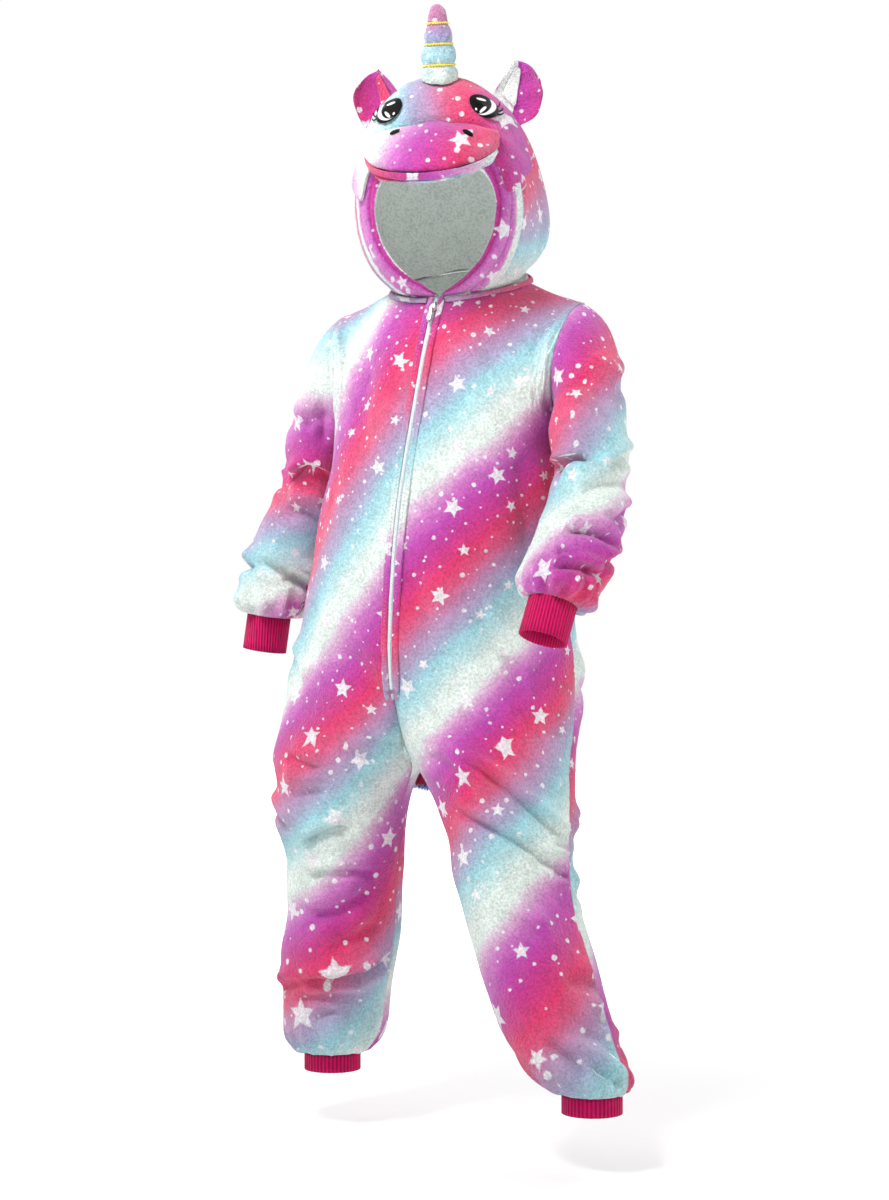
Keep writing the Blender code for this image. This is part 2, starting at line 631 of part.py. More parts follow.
def make_forehead():
    """The animal's forehead, padded, over the front of the hood from the snout's seam to the crown."""
    grid, out = two_sided(FOREHEAD_A, FOREHEAD_B)
    rows, cols = grid.shape[:2]
    outer = grid.copy()
    for r in range(rows):
        for c in range(cols):
            rim = math.sin(math.pi * (r + 0.4) / (rows - 0.2)) * math.sin(math.pi * (c + 0.4) / (cols - 0.2))
            outer[r, c] += (FOREHEAD_THICK + FOREHEAD_PUFF * rim) * out[r, c]
    inner = set_back(grid + 0.0010 * out, gap=0.001)
    return wall("forehead", set_back(outer, gap=0.001), material("plush", PLUSH), inner=inner)


# ---- Places on pieces that are already there ----
OFF_EDGE = np.array([0.00011, 0.00007, 0.00005])  # keeps a ray off the edge between two faces


def tree_of(names):
    """A search tree of the named pieces' faces."""
    points, faces = [], []
    for name in names:
        mesh = bpy.data.objects[name].data
        start = len(points)
        points += [v.co.copy() for v in mesh.vertices]
        mesh.calc_loop_triangles()
        faces += [tuple(start + i for i in t.vertices) for t in mesh.loop_triangles]
    return BVHTree.FromPolygons(points, faces)


def dropped(tree, point, way, above):
    """Where a head-frame point, moved along way, meets the tree, standing above it by a height."""
    point = np.asarray(point) + OFF_EDGE
    origin = head_to_world(point)
    line = head_to_world(point + unit(way)) - origin
    hit = tree.ray_cast(Vector(origin), Vector(line))[0]
    return None if hit is None else np.array(hit) - above * line


def pad_on(name, tree, outline, centre, way, gap, thick, look, shares=(0.25, 0.65, 1.0)):
    """A thin pad that follows the surface below it: rings of one outline, under and over."""
    under = [[dropped(tree, centre + share * o, way, gap) for o in outline] for share in shares]
    over = [
        [dropped(tree, centre + share * 0.985 * o, way, gap + thick * (1.25 - 0.25 * share)) for o in outline]
        for share in reversed(shares)
    ]
    return body_of_rings(name, under + over, look)


# ---- Snout ----
SNOUT_HALF, SNOUT_REACH, SNOUT_FALL = 0.079, 0.064, 0.060
SNOUT_COLS, SNOUT_ROWS, SNOUT_THICK = 14, 5, 0.0075
SNOUT_SEAM_Z, SNOUT_SEAM_DIP = 0.055, 0.012
SNOUT_OFF = 0.0026  # how far its seam stands off the forehead
SNOUT_PUFF, SNOUT_FLAT_SIDES = 0.016, 0.6
LIP = (
    # distance below the lobe's edge, distance behind it
    (0.0086, -0.0010), (0.0120, 0.0000), (0.0155, 0.0030),
)
LIP_NARROWS, LIP_BACK = (0.97, 1, 1), (0, 0.003, 0.0005)
UNDER_FROM, UNDER_NARROWS = (0.0162, 0.0050), (0.95, 1, 1)
UNDER_TO, UNDER_ROOT_NARROWS = (0, -0.0045, -0.026), (0.93, 1, 1)
UNDER_ROWS, UNDER_WALL = 4, 0.0025


def snout_edge(root, x, down=0.0, back=0.0):
    """The lobe's front edge: half an ellipse that hangs forward and down from its seam."""
    reach = math.sqrt(1 - 0.95 * x * x)
    return root + np.array([0, -SNOUT_REACH * reach + back, -SNOUT_FALL * reach - down])


def make_snout(tree):
    """The snout's stuffed upper lobe, the padded lip along its edge and the facing under it."""
    plush = material("plush", PLUSH)
    xs = np.linspace(-1, 1, SNOUT_COLS + 1)
    centre = head_to_world((0, 0, 0))
    roots = []
    for x in xs:
        z = SNOUT_SEAM_Z - SNOUT_SEAM_DIP * x * x
        starts = [(x * SNOUT_HALF + d, -0.30, z) for d in (-0.003, 0.003)]
        hits = [dropped(tree, start, (0, 1, 0), SNOUT_OFF) for start in starts]
        y = min((hit - centre) @ (head_to_world((0, 1, 0)) - centre) for hit in hits if hit is not None)
        roots.append(np.array([x * SNOUT_HALF, y, z]))
    top, low = [], []
    for t in np.linspace(0, 1, SNOUT_ROWS + 1):
        row, under = [], []
        for x, root in zip(xs, roots):
            puff = SNOUT_PUFF * math.sin(math.pi * t) * (1 - SNOUT_FLAT_SIDES * x * x)
            bulge = np.array([0, -0.6, 0.8]) * puff
            flat = root * (1 - t) + snout_edge(root, x) * t
            row.append(flat + bulge)
            under.append(flat + 0.5 * bulge - unit([0, -0.75 * t, 1.0]) * SNOUT_THICK)
        top.append(row)
        low.append(under)
    wall("snout_top", head_to_world(top), plush, inner=head_to_world(low))
    lip = [[snout_edge(root, x, *place) for x, root in zip(xs, roots)] for place in LIP]
    behind = np.array(lip) * LIP_NARROWS + LIP_BACK
    wall("snout_lip", head_to_world(lip), plush, inner=head_to_world(behind))
    front = np.array([snout_edge(root, x, *UNDER_FROM) for x, root in zip(xs, roots)]) * UNDER_NARROWS
    rear = np.array(roots) * UNDER_ROOT_NARROWS + UNDER_TO
    under = np.array([front * (1 - t) + rear * t for t in np.linspace(0, 1, UNDER_ROWS)])
    below = under - (0, 0, UNDER_WALL)
    wall("snout_under", head_to_world(below), plush, inner=head_to_world(under))


# ---- Eyes and nostrils ----
FACE_MID = 0.007  # the face's middle, to the wearer's left of the hood's own
EYE_HALF_W, EYE_HALF_H = 0.0175, 0.0165
EYE_X, EYE_Y, EYE_Z, EYE_TILT = 0.056, -0.111, 0.075, math.radians(14)
EYE_SIDES, EYE_THICK, EYE_GAP = 16, 0.0014, 0.0013
EYE_EGG = 0.16  # how much wider it is above than at the middle
EYE_DROOP = 0.002  # how much higher the left eye sits than the right one
NOSTRIL_X, NOSTRIL_Y, NOSTRIL_HALF_W, NOSTRIL_HALF_D = 0.042, -0.161, 0.0060, 0.0028
NOSTRIL_SIDES, NOSTRIL_GAP = 10, 0.0006
CAST_FROM = 0.12  # how far off the surface a ray starts


def eye_outline(side, across, up):
    """A rounded, outward-leaning almond."""
    points = []
    for k in range(EYE_SIDES):
        turn = 2 * math.pi * k / EYE_SIDES
        wide = EYE_HALF_W * math.cos(turn) * (1 + EYE_EGG * math.sin(turn))
        tall = EYE_HALF_H * math.sin(turn)
        lean = side * EYE_TILT
        w, t = wide * math.cos(lean) + tall * math.sin(lean), tall * math.cos(lean) - wide * math.sin(lean)
        points.append(across * w + up * t)
    return np.array(points)


def make_face_stitching(forehead, snout):
    black = material("satin stitch", (0.02, 0.02, 0.02), 0.5)
    for side, name in ((1, "left"), (-1, "right")):
        way = unit([-side * 0.50, 0.75, -0.42])
        across = unit(np.cross([0, 0, 1], -way))
        up = np.cross(-way, across)
        centre = np.array([FACE_MID + side * EYE_X, EYE_Y, EYE_Z + side * EYE_DROOP]) - CAST_FROM * way
        pad_on(f"eye_{name}", forehead, eye_outline(side, across, up), centre, way, EYE_GAP, EYE_THICK, black)
        turns = 2 * np.pi * np.arange(NOSTRIL_SIDES) / NOSTRIL_SIDES
        outline = np.column_stack([NOSTRIL_HALF_W * np.cos(turns), NOSTRIL_HALF_D * np.sin(turns), 0 * turns])
        centre = np.array([FACE_MID + side * NOSTRIL_X, NOSTRIL_Y, 0.30])
        place = (snout, outline, centre, (0, 0, -1), NOSTRIL_GAP, EYE_THICK, black)
        pad_on(f"nostril_{name}", *place, shares=(0.35, 1.0))


# ---- Ears, horn and mane ----
EAR_AT = (0.080, 0.004, 0.091)
EAR_UP, EAR_FACING = (0.16, 0.06, 0.98), (0.25, -0.97, 0.0)
EAR_LONG, EAR_HALF, EAR_THICK = 0.058, 0.030, 0.013
EAR_FOOT = 0.009  # half width of the outer lobe where it is sewn on
EAR_WIDEST = 0.58  # where along its length the lobe is widest
EAR_TAPER = 0.72  # how much narrower the half towards the horn is at its tip
EAR_LOW_RIM = 0.34  # how much shorter the ear is at the lobe's rim
EAR_CUP, EAR_ROLL = 0.010, 0.010  # how far its edges and, further, its outer lobe curl forward
EAR_THIN, EAR_PUFF = 0.35, 0.45  # how much thinner its edges and thicker its lobe are
EAR_LINING, EAR_GAP = 0.0026, 0.0012
EAR_ROWS, EAR_COLS = 8, 7
HORN_BASE, HORN_TOP = np.array([0.006, -0.088, 0.106]), np.array([0.008, -0.106, 0.196])
# share of the horn's length, radius
HORN_RINGS = (
    (0.120, 0.0236), (0.215, 0.0210), (0.235, 0.0185), (0.260, 0.0185),
    (0.280, 0.0202), (0.380, 0.0212), (0.475, 0.0184), (0.495, 0.0162), (0.520, 0.0162), (0.540, 0.0172),
    (0.650, 0.0170), (0.735, 0.0142), (0.755, 0.0122), (0.780, 0.0122), (0.800, 0.0128), (0.900, 0.0112),
    (0.965, 0.0075), (1.000, 0.0030),
)
HORN_CORDS = (0.2475, 0.5075, 0.7675)
HORN_GROOVES = (0.0185, 0.0162, 0.0122)
HORN_SIDES = 12


def ear_half(w, v):
    """Half the ear's width at v of its length: a round lobe outwards, a tapering flap towards the horn."""
    if w > 0:
        return EAR_HALF * (1 - EAR_TAPER * v)
    foot = math.sqrt(1 - (EAR_FOOT / EAR_HALF) ** 2)
    return EAR_HALF * math.sqrt(1 - (foot * (v - EAR_WIDEST) / EAR_WIDEST) ** 2)


def make_ears(tree):
    """Stuffed, cupped ears: the outer lobe rolls forward, and a lining lies in the half towards the horn."""
    for side, name in ((1, "left"), (-1, "right")):
        mirror = np.array([side, 1.0, 1.0])
        up, facing = unit(mirror * EAR_UP), unit(mirror * EAR_FACING)
        inward = unit(np.cross(facing, up)) * side

        def on_head(point):
            """The point let down along the ear onto the hood, in the head's frame."""
            return head_from(dropped(tree, point + up * 2 * EAR_LONG, -up, EAR_GAP))

        outer, mid = [], []
        for w in np.linspace(-1, 1, EAR_COLS):
            lobe = max(-w, 0)
            long = EAR_LONG * (1 - EAR_LOW_RIM * lobe * lobe)
            thick = EAR_THICK * (1 - EAR_THIN * w * w) * (1 + EAR_PUFF * lobe)
            for line, behind in ((outer, thick), (mid, 0.0)):
                foot = mirror * EAR_AT + facing * (EAR_CUP * (w * w - 0.5) - behind)
                sole = on_head(foot + inward * ear_half(w, 0) * w)
                low = (sole - foot) @ up
                column = [sole]
                for v in np.linspace(0, 1, EAR_ROWS)[1:]:
                    curl = facing * EAR_ROLL * (lobe * lobe + 0.6) * v * v
                    column.append(foot + inward * ear_half(w, v) * w + curl + up * (low + (long - low) * v))
                line.append(column)
        outer = head_to_world(np.swapaxes(outer, 0, 1))
        mid = head_to_world(np.swapaxes(mid, 0, 1))
        wall(f"ear_outer_{name}", outer, material("plush", PLUSH), inner=mid)
        out = unit(head_to_world(facing) - head_to_world((0, 0, 0)))
        face = mid[1:-1, EAR_COLS // 2 : -1] + 2 * SEAM * out
        wall(f"ear_inner_{name}", face + EAR_LINING * out, material("plush", PLUSH), inner=face + SEAM * out)


def head_from(point):
    """A world point in the head's frame."""
    centre = head_to_world((0, 0, 0))
    axes = head_to_world(np.eye(3)) - centre
    return axes @ (np.asarray(point) - centre)


def horn_ring(share, radius, sides=HORN_SIDES):
    axis = unit(HORN_TOP - HORN_BASE)
    right = np.array([1.0, 0, 0])
    fore = np.cross(axis, right)
    turns = 2 * np.pi * np.arange(sides) / sides
    ring = np.outer(np.cos(turns), right) + np.outer(np.sin(turns), fore)
    return HORN_BASE + share * (HORN_TOP - HORN_BASE) + radius * ring


def make_horn(tree):
    axis = HORN_TOP - HORN_BASE
    rings = []
    for radius in (0.004, 0.013, 0.0215):
        rings.append([head_from(dropped(tree, p, -axis, 0.0018)) for p in horn_ring(1.5, radius)])
    rings.append([head_from(dropped(tree, p, -axis, 0.0060)) for p in horn_ring(1.5, 0.0235)])
    rings += [horn_ring(share, radius) for share, radius in HORN_RINGS[1:]]
    body_of_rings("horn", head_to_world(rings), material("plush pale", PLUSH_PALE))
    length = np.linalg.norm(axis)
    gold = material("gold cord", (0.9, 0.7, 0.1), 0.4)
    for number, (share, groove) in enumerate(zip(HORN_CORDS, HORN_GROOVES), 1):
        sections = ((-0.0008, 0.0004), (0.0, 0.0022), (0.0008, 0.0004))
        outer = [horn_ring(share + d / length, groove + r) for d, r in sections]
        inner = [horn_ring(share + d / length, groove + 0.0003) for d, _ in sections]
        wall(f"horn_cord_{number}", head_to_world(outer), gold, wrap=True, inner=head_to_world(inner))


MANE_LOBES = 6
MANE_FROM, MANE_TO = 0.43, 0.965  # along the hood's middle, from the face opening to the nape
MANE_LOW, MANE_RISE = 0.0075, 0.0150  # its height between two scallops, and how much more at one
MANE_HALF, MANE_SWELL = 0.0055, 0.0030
MANE_LEAN, MANE_OFF, MANE_STEP = 0.30, 0.0012, 0.01
MANE_SECTION = (
    # share of the half width, share of the height
    (-1.0, 0.0), (-1.2, 0.5), (-0.6, 0.9), (0.0, 1.0), (0.6, 0.9), (1.2, 0.5), (1.0, 0.0), (0.0, 0.0),
)


def make_mane():
    """A stuffed crest of scallops along the middle of the crown strip."""
    stations, rings = 4 * MANE_LOBES + 1, []
    centre = head_to_world((0, 0, 0))
    side_way = unit(head_to_world((1, 0, 0)) - centre)
    for k in range(stations):
        a = MANE_FROM + (MANE_TO - MANE_FROM) * k / (stations - 1)
        here = hood_point(1, a, 0)
        ahead, behind = hood_point(1, min(a + MANE_STEP, 1), 0), hood_point(1, a - MANE_STEP, 0)
        out = unit(np.cross(ahead - behind, side_way))
        out = out if np.dot(out, here - centre) > 0 else -out
        lobe = abs(math.sin(math.pi * k / 4 + MANE_LEAN)) if 0 < k < stations - 1 else 0.0
        tall = MANE_LOW + MANE_RISE * math.sqrt(lobe)
        half = MANE_HALF + MANE_SWELL * lobe
        rings.append([here + side_way * half * w + out * (tall * h + MANE_OFF) for w, h in MANE_SECTION])
    body_of_rings("mane", rings, material("mane", (0.75, 0.08, 0.20)))


# ---- Neck band and zip, laid on the panels' own points ----
def off_panel(grids, side, row, lateral, above):
    """A point on a front panel at a distance from its centre edge, stood off its face."""
    folded, out = grids[side]
    first, second = folded[False][row, 0], folded[False][row, 1]
    if row == 0:
        first = first + BELOW_NECK * unit(folded[False][1, 0] - first)
        second = second + BELOW_NECK * unit(folded[False][1, 1] - second)
    step = unit(second - first)
    share = lateral / np.linalg.norm(second - first)
    normal = unit(out[False][row, 0] * (1 - share) + out[False][row, 1] * share)
    return first + lateral * step + above * normal


ZIP_ROWS = YOKE_ROWS + DROPS.index(ZIP_DROP) + 1
CHAIN_HALF, PLACKET_FROM, PLACKET_TO = 0.0028, 0.0033, 0.0105
CHAIN_MID, CHAIN_EDGE = 0.0016, 0.0010
PLACKET_TALL = (0.0022, 0.0030, 0.0020)  # at its inner edge, middle and outer edge
LAID = 0.0014  # what lies on a panel stands off it by this
BELOW_NECK = 0.0022  # where the zip starts under the neck seam


def make_zip(grids):
    tape, plush = material("zip tape", (0.75, 0.80, 0.82), 0.6), material("plush", PLUSH)
    rows = range(ZIP_ROWS)
    lanes = ((-1, CHAIN_HALF), (-1, 0.0), (1, CHAIN_HALF))
    lifts = {w: LAID + (CHAIN_MID if w == 0 else CHAIN_EDGE) for _, w in lanes}
    outer = [[off_panel(grids, s, r, w, lifts[w]) for s, w in lanes] for r in rows]
    inner = [[off_panel(grids, s, r, w, LAID) for s, w in lanes] for r in rows]
    wall("zip_chain", np.array(outer), tape, inner=np.array(inner))
    for side, name in ((1, "left"), (-1, "right")):
        widths = (PLACKET_FROM, (PLACKET_FROM + PLACKET_TO) / 2, PLACKET_TO)
        outer = [[off_panel(grids, side, r, w, LAID + h) for w, h in zip(widths, PLACKET_TALL)] for r in rows]
        inner = [[off_panel(grids, side, r, w, LAID) for w in widths] for r in rows]
        wall(f"placket_{name}", np.array(outer), plush, inner=np.array(inner))


BAND_DEEP = 0.010


def make_neck_band(grids, panels):
    """A rolled ridge round the neckline, just under the hood's seam, from placket to placket."""
    lanes = []
    for side in (-1, 1):
        line = [(side, False, c) for c in range(NECK_COLS + 1)]
        line += [(side, True, c) for c in range(NECK_COLS - 1, -1, -1)]
        lanes += line if side < 0 else line[::-1][1:]
    outer, inner = [], []
    for depth, tall in ((0.20, 0.0012), (0.58, 0.0042), (1.0, 0.0010)):
        top_row, low_row = [], []
        for side, back, c in lanes:
            y_sign = 1 if back else -1
            turn = y_sign * (math.pi / 2) * (1 - c / NECK_COLS)
            grid, out = grids[side][0][back], grids[side][1][back][0, c]
            radial = np.array([side * math.cos(turn), math.sin(turn), 0])
            down = unit(radial - np.dot(radial, out) * out)
            spot = grid[0, c] + down * BAND_DEEP * depth + 6 * SEAM * np.array([side, y_sign, 0])
            if c == 0 and not back:
                spot = spot + (PLACKET_TO + 0.0012) * unit(grid[0, 1] - grid[0, 0])
            hit = np.array(panels.ray_cast(Vector(spot + 0.02 * out), Vector(-out))[0])
            top_row.append(hit + (1.5 * LAID + tall) * out)
            low_row.append(hit + 1.5 * LAID * out)
        outer.append(top_row)
        inner.append(low_row)
    wall("neck_band", np.array(outer), material("plush", PLUSH), inner=np.array(inner))


# slider: x half, y thickness, top and bottom z; the tab hangs from a barrel between the slider's two lugs
SLIDER_HALF, SLIDER_THICK, SLIDER_LONG = 0.0045, 0.0040, 0.0120
SLIDER_DROP, SLIDER_OFF = 0.0090, 0.0038
SLIDER_BODY = (
    # distance down, share of the half width, share of the thickness
    (0.0, 0.7, 0.8), (0.003, 1.0, 1.0), (0.008, 1.0, 1.0), (SLIDER_LONG, 0.6, 0.8),
)
SLIDER_SECTION = (
    # share of the half width, share of the thickness
    (-1.0, 0.0), (1.0, 0.0), (1.0, 0.7), (0.7, 1.0), (-0.7, 1.0), (-1.0, 0.7),
)
BARREL_R, BARREL_DROP, BARREL_HALF, BARREL_CLEAR = 0.0014, 0.0075, 0.0018, 0.0008
TAB_LONG, TAB_HALF, TAB_THIN = 0.0220, 0.0024, 0.0007
TAB_BODY = (
    # distance below the pivot, half width, half thickness
    (-BARREL_R, BARREL_HALF, BARREL_R), (0.0020, BARREL_HALF, BARREL_R), (0.0050, TAB_HALF, TAB_THIN),
    (0.0160, 1.15 * TAB_HALF, TAB_THIN), (TAB_LONG, 0.90 * TAB_HALF, TAB_THIN),
)


def make_pull(grids):
    """The zip's slider on the upper end of the chain, and its pull tab hanging from the slider's bridge."""
    steel = material("nickel", (0.6, 0.6, 0.6), 0.25, 1.0)
    top, low = off_panel(grids, 1, 0, 0.0, 0.0), off_panel(grids, 1, 2, 0.0, 0.0)
    down = unit((low - top) * (0, 1, 1))
    across = np.array([1.0, 0, 0])
    out = np.cross(across, down)
    out = out if out[1] < 0 else -out
    base = top + down * SLIDER_DROP + out * (LAID + SLIDER_OFF)
    base[0] = 0.0
    rings = []
    for d, wide, thick in SLIDER_BODY:
        wide, thick = wide * SLIDER_HALF, thick * SLIDER_THICK
        rings.append([base + down * d + across * wide * x + out * thick * t for x, t in SLIDER_SECTION])
    body_of_rings("zip_slider", rings, steel)
    pivot = base + down * BARREL_DROP + out * (SLIDER_THICK + BARREL_R + BARREL_CLEAR)
    rows = [[pivot + down * d + across * x for x in (-half, 0, half)] for d, half, _ in TAB_BODY]
    lift = [[out * thick] * 3 for *_, thick in TAB_BODY]
    wall("zip_pull", np.array(rows) + np.array(lift), steel, inner=np.array(rows) - np.array(lift))


# ---- Tail ----
TAIL_TOP, TAIL_LOW, TAIL_TIP = 0.432, 0.470, 0.618  # drops of the root's top, of its lower end, of the tips
TAIL_ACROSS, TAIL_DEEP = 6, 2  # locks
ROOT_HALF, ROOT_DEEP = (0.014, 0.030), (0.008, 0.014)  # at the top and at the lower end
ROOT_SWING, ROOT_OFF = 0.006, 0.0014
TIP_SWING, TIP_SPREAD = 0.046, 0.052  # how far the tips lie to the wearer's right, and how far they fan out
TIP_BACK, TIP_LAYERS = 0.104, 0.026
TIP_UNEVEN = np.array([0.004, 0.003, 0.010])  # how unevenly the tips lie across, back and down
LOCK_BOW = 0.014
LOCK_SIZES = (0.72, 0.85, 0.70)  # of a lock near its root, half way down and at its tip


def make_tail(tree):
    """A sewn root on the centre back and the locks from its lower end, swung to the wearer's right."""

    def back_y(x, drop):
        starts = [Vector((x + d, 0.40, -drop)) for d in (-4 * SEAM, 4 * SEAM)]
        hits = [tree.ray_cast(start, Vector((0, -1, 0)))[0] for start in starts]
        return max(hit[1] for hit in hits if hit is not None)

    middle = along(MIDDLE, TAIL_TOP)[0]
    rim = [(i, 0) for i in range(TAIL_ACROSS)] + [(TAIL_ACROSS, j) for j in range(TAIL_DEEP)]
    rim += [(TAIL_ACROSS - i, TAIL_DEEP) for i in range(TAIL_ACROSS)]
    rim += [(0, TAIL_DEEP - j) for j in range(TAIL_DEEP)]

    def spot(i, j, share):
        """A point of the root: i across, j deep, share 0 at its top and 1 where the locks start."""
        half = ROOT_HALF[0] + (ROOT_HALF[1] - ROOT_HALF[0]) * share
        deep = ROOT_DEEP[0] + (ROOT_DEEP[1] - ROOT_DEEP[0]) * share
        drop = TAIL_TOP + (TAIL_LOW - TAIL_TOP) * share
        x = middle - ROOT_SWING * share + half * (2 * i / TAIL_ACROSS - 1)
        return np.array([x, back_y(x, drop) + ROOT_OFF + deep * j / TAIL_DEEP, -drop])

    points = [spot(i, j, share) for share in (0.0, 0.5) for i, j in rim]
    n = len(rim)
    faces = [tuple(range(n))]
    points += [spot(i, j, 1.0) for i in range(TAIL_ACROSS + 1) for j in range(TAIL_DEEP + 1)]

    def at(i, j):
        return 2 * n + i * (TAIL_DEEP + 1) + j

    lower = [at(i, j) for i, j in rim]
    for k in range(n):
        m = (k + 1) % n
        faces.append((k, n + k, n + m, m))
        faces.append((n + k, lower[k], lower[m], n + m))
    for i in range(TAIL_ACROSS):
        for j in range(TAIL_DEEP):
            cell = [at(i, j), at(i, j + 1), at(i + 1, j + 1), at(i + 1, j)]
            corners = np.array([points[c] for c in cell])
            root = corners.mean(axis=0)
            lean = 2 * (i + 0.5) / TAIL_ACROSS - 1
            turns = (5.3 * i + 2.7 * j, 3.1 * i + 1.9 * j, 2.1 * i + 4.3 * j)
            uneven = TIP_UNEVEN * np.sin(turns)
            tip = np.array([middle - TIP_SWING, TIP_BACK, -TAIL_TIP]) + uneven
            tip += (TIP_SPREAD * lean, TIP_LAYERS * (j + 0.5) / TAIL_DEEP, TIP_UNEVEN[2] * lean * lean)
            half_way = (root + tip) / 2 + (uneven[0], LOCK_BOW, 0)
            rings = [cell]
            for target, size in zip((root, half_way, tip), LOCK_SIZES):
                start = len(points)
                points.extend(target + size * (corners - root))
                rings.append(list(range(start, start + 4)))
            for upper, under in zip(rings, rings[1:]):
                for k in range(4):
                    m = (k + 1) % 4
                    faces.append((upper[k], upper[m], under[m], under[k]))
            faces.append(tuple(rings[-1]))
    add_mesh("tail", points, faces, material("tail locks", (0.65, 0.02, 0.12)))


def make_ankles(grids):
    for side, name in ((1, "left"), (-1, "right")):
        ends = np.array([ring_point(side, u, ANKLE_DROP) for u in (0, 0.25, 0.5, 0.75)])
        centre = ends.mean(axis=0)
        radius = abs(ends[2, 0] - ends[0, 0]) / 2
        make_cuff(f"ankle_cuff_{name}", centre, (0, 0, -1), (1, 0, 0), radius - 0.0016, 0.022, 26)


def main():
    for obj in list(bpy.data.objects):
        bpy.data.objects.remove(obj)
    grids = {side: panel_grids(side) for side in (1, -1)}
    for side, name in ((1, "left"), (-1, "right")):
        centre, way, inward, _, across, _ = make_sleeve(side, name, grids)
        make_cuff(f"wrist_cuff_{name}", centre, way, inward, across - 0.0018, 0.044, 24)
    make_panels(grids)
    make_gusset(grids)
    make_ankles(grids)
    make_hood()
    make_forehead()
    head = tree_of(("forehead", "hood_crown", "hood_left", "hood_right", "face_band_left", "face_band_right"))
    make_snout(head)
    make_face_stitching(tree_of(("forehead",)), tree_of(("snout_top",)))
    make_ears(head)
    make_horn(head)
    make_mane()
    make_zip(grids)
    make_neck_band(grids, tree_of(("front_left", "front_right", "back_left", "back_right")))
    make_pull(grids)
    make_tail(tree_of(("back_left", "back_right")))


main()
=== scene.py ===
"""The looks of the hooded unicorn onesie: printed plush, ribbed cuffs, stuffed horn, stitching, zip and tail.

Metres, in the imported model's frame: +Z up, the front faces -Y, the wearer's left is +X.
"""

import json
import math

import bmesh
import bpy
import numpy as np
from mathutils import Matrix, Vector
from mathutils.bvhtree import BVHTree
from mathutils.kdtree import KDTree

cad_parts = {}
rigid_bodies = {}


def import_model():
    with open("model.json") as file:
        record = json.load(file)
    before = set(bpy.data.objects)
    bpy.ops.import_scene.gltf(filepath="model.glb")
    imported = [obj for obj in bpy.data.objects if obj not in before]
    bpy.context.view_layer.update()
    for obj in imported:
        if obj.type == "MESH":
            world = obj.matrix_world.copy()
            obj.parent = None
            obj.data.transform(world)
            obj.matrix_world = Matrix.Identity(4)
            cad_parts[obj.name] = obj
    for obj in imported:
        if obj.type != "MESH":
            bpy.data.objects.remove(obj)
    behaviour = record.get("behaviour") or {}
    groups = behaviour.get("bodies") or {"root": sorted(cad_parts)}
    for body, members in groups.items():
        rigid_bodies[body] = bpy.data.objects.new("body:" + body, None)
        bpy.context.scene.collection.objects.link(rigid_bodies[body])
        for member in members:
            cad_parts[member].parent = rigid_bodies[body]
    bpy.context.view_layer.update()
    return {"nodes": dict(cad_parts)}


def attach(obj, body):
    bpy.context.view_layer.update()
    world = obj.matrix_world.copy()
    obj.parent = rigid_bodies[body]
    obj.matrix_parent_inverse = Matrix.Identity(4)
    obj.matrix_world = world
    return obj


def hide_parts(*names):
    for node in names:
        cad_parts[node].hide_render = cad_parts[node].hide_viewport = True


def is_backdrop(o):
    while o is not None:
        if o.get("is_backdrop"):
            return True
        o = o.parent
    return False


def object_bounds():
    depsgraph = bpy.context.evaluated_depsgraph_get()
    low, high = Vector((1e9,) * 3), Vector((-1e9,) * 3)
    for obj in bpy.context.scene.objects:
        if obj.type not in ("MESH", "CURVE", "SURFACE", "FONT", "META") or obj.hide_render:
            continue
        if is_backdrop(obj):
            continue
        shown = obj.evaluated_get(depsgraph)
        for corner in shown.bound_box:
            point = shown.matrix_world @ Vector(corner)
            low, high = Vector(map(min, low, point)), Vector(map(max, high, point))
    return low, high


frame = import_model()

# ---- Colours, linear ----
def rgb(red, green, blue):
    """A linear colour from the usual 0 to 255 values."""
    shares = (v / 255 for v in (red, green, blue))
    return tuple(((v + 0.055) / 1.055) ** 2.4 if v > 0.04 else v / 12.92 for v in shares)


MINT, STAR_WHITE, LINING = rgb(216, 227, 221), rgb(228, 226, 230), rgb(232, 240, 234)
BLACK = rgb(7, 6, 8)
# share of one repeat, colour: the print's bands, going down the cloth
BANDS = (
    (0.00, rgb(214, 46, 102)), (0.08, rgb(207, 78, 120)), (0.17, rgb(176, 130, 170)),
    (0.26, rgb(158, 162, 192)), (0.33, rgb(150, 202, 212)), (0.41, rgb(180, 214, 216)), (0.49, MINT),
    (0.575, MINT), (0.635, rgb(210, 168, 200)), (0.70, rgb(196, 108, 184)), (0.78, rgb(180, 62, 164)),
    (0.88, rgb(188, 44, 136)), (1.00, rgb(214, 46, 102)),
)


# ---- Meshes ----
OUTER, INNER, RIM = 0, 1, 2
SEAM_CLOSE, NECK_CLOSE = 0.0004, 0.0009
WELD, SKIN_TURN = 2e-6, math.radians(62)  # faces that turn by more than this belong to another skin


def unit(v):
    v = np.asarray(v, float)
    return v / np.maximum(np.linalg.norm(v, axis=-1, keepdims=True), 1e-12)


def smooth(a, b, x):
    """0 below a, 1 above b, and a soft step between."""
    t = np.clip((x - a) / (b - a), 0, 1)
    return t * t * (3 - 2 * t)


def read(items, name, width=1, kind=float):
    """One value of many items, as an array with a row for each."""
    values = np.zeros(len(items) * width, kind)
    items.foreach_get(name, values)
    return values.reshape(-1, width) if width > 1 else values


def placed(name, data):
    """A new object in the scene."""
    obj = bpy.data.objects.new(name, data)
    bpy.context.scene.collection.objects.link(obj)
    return obj


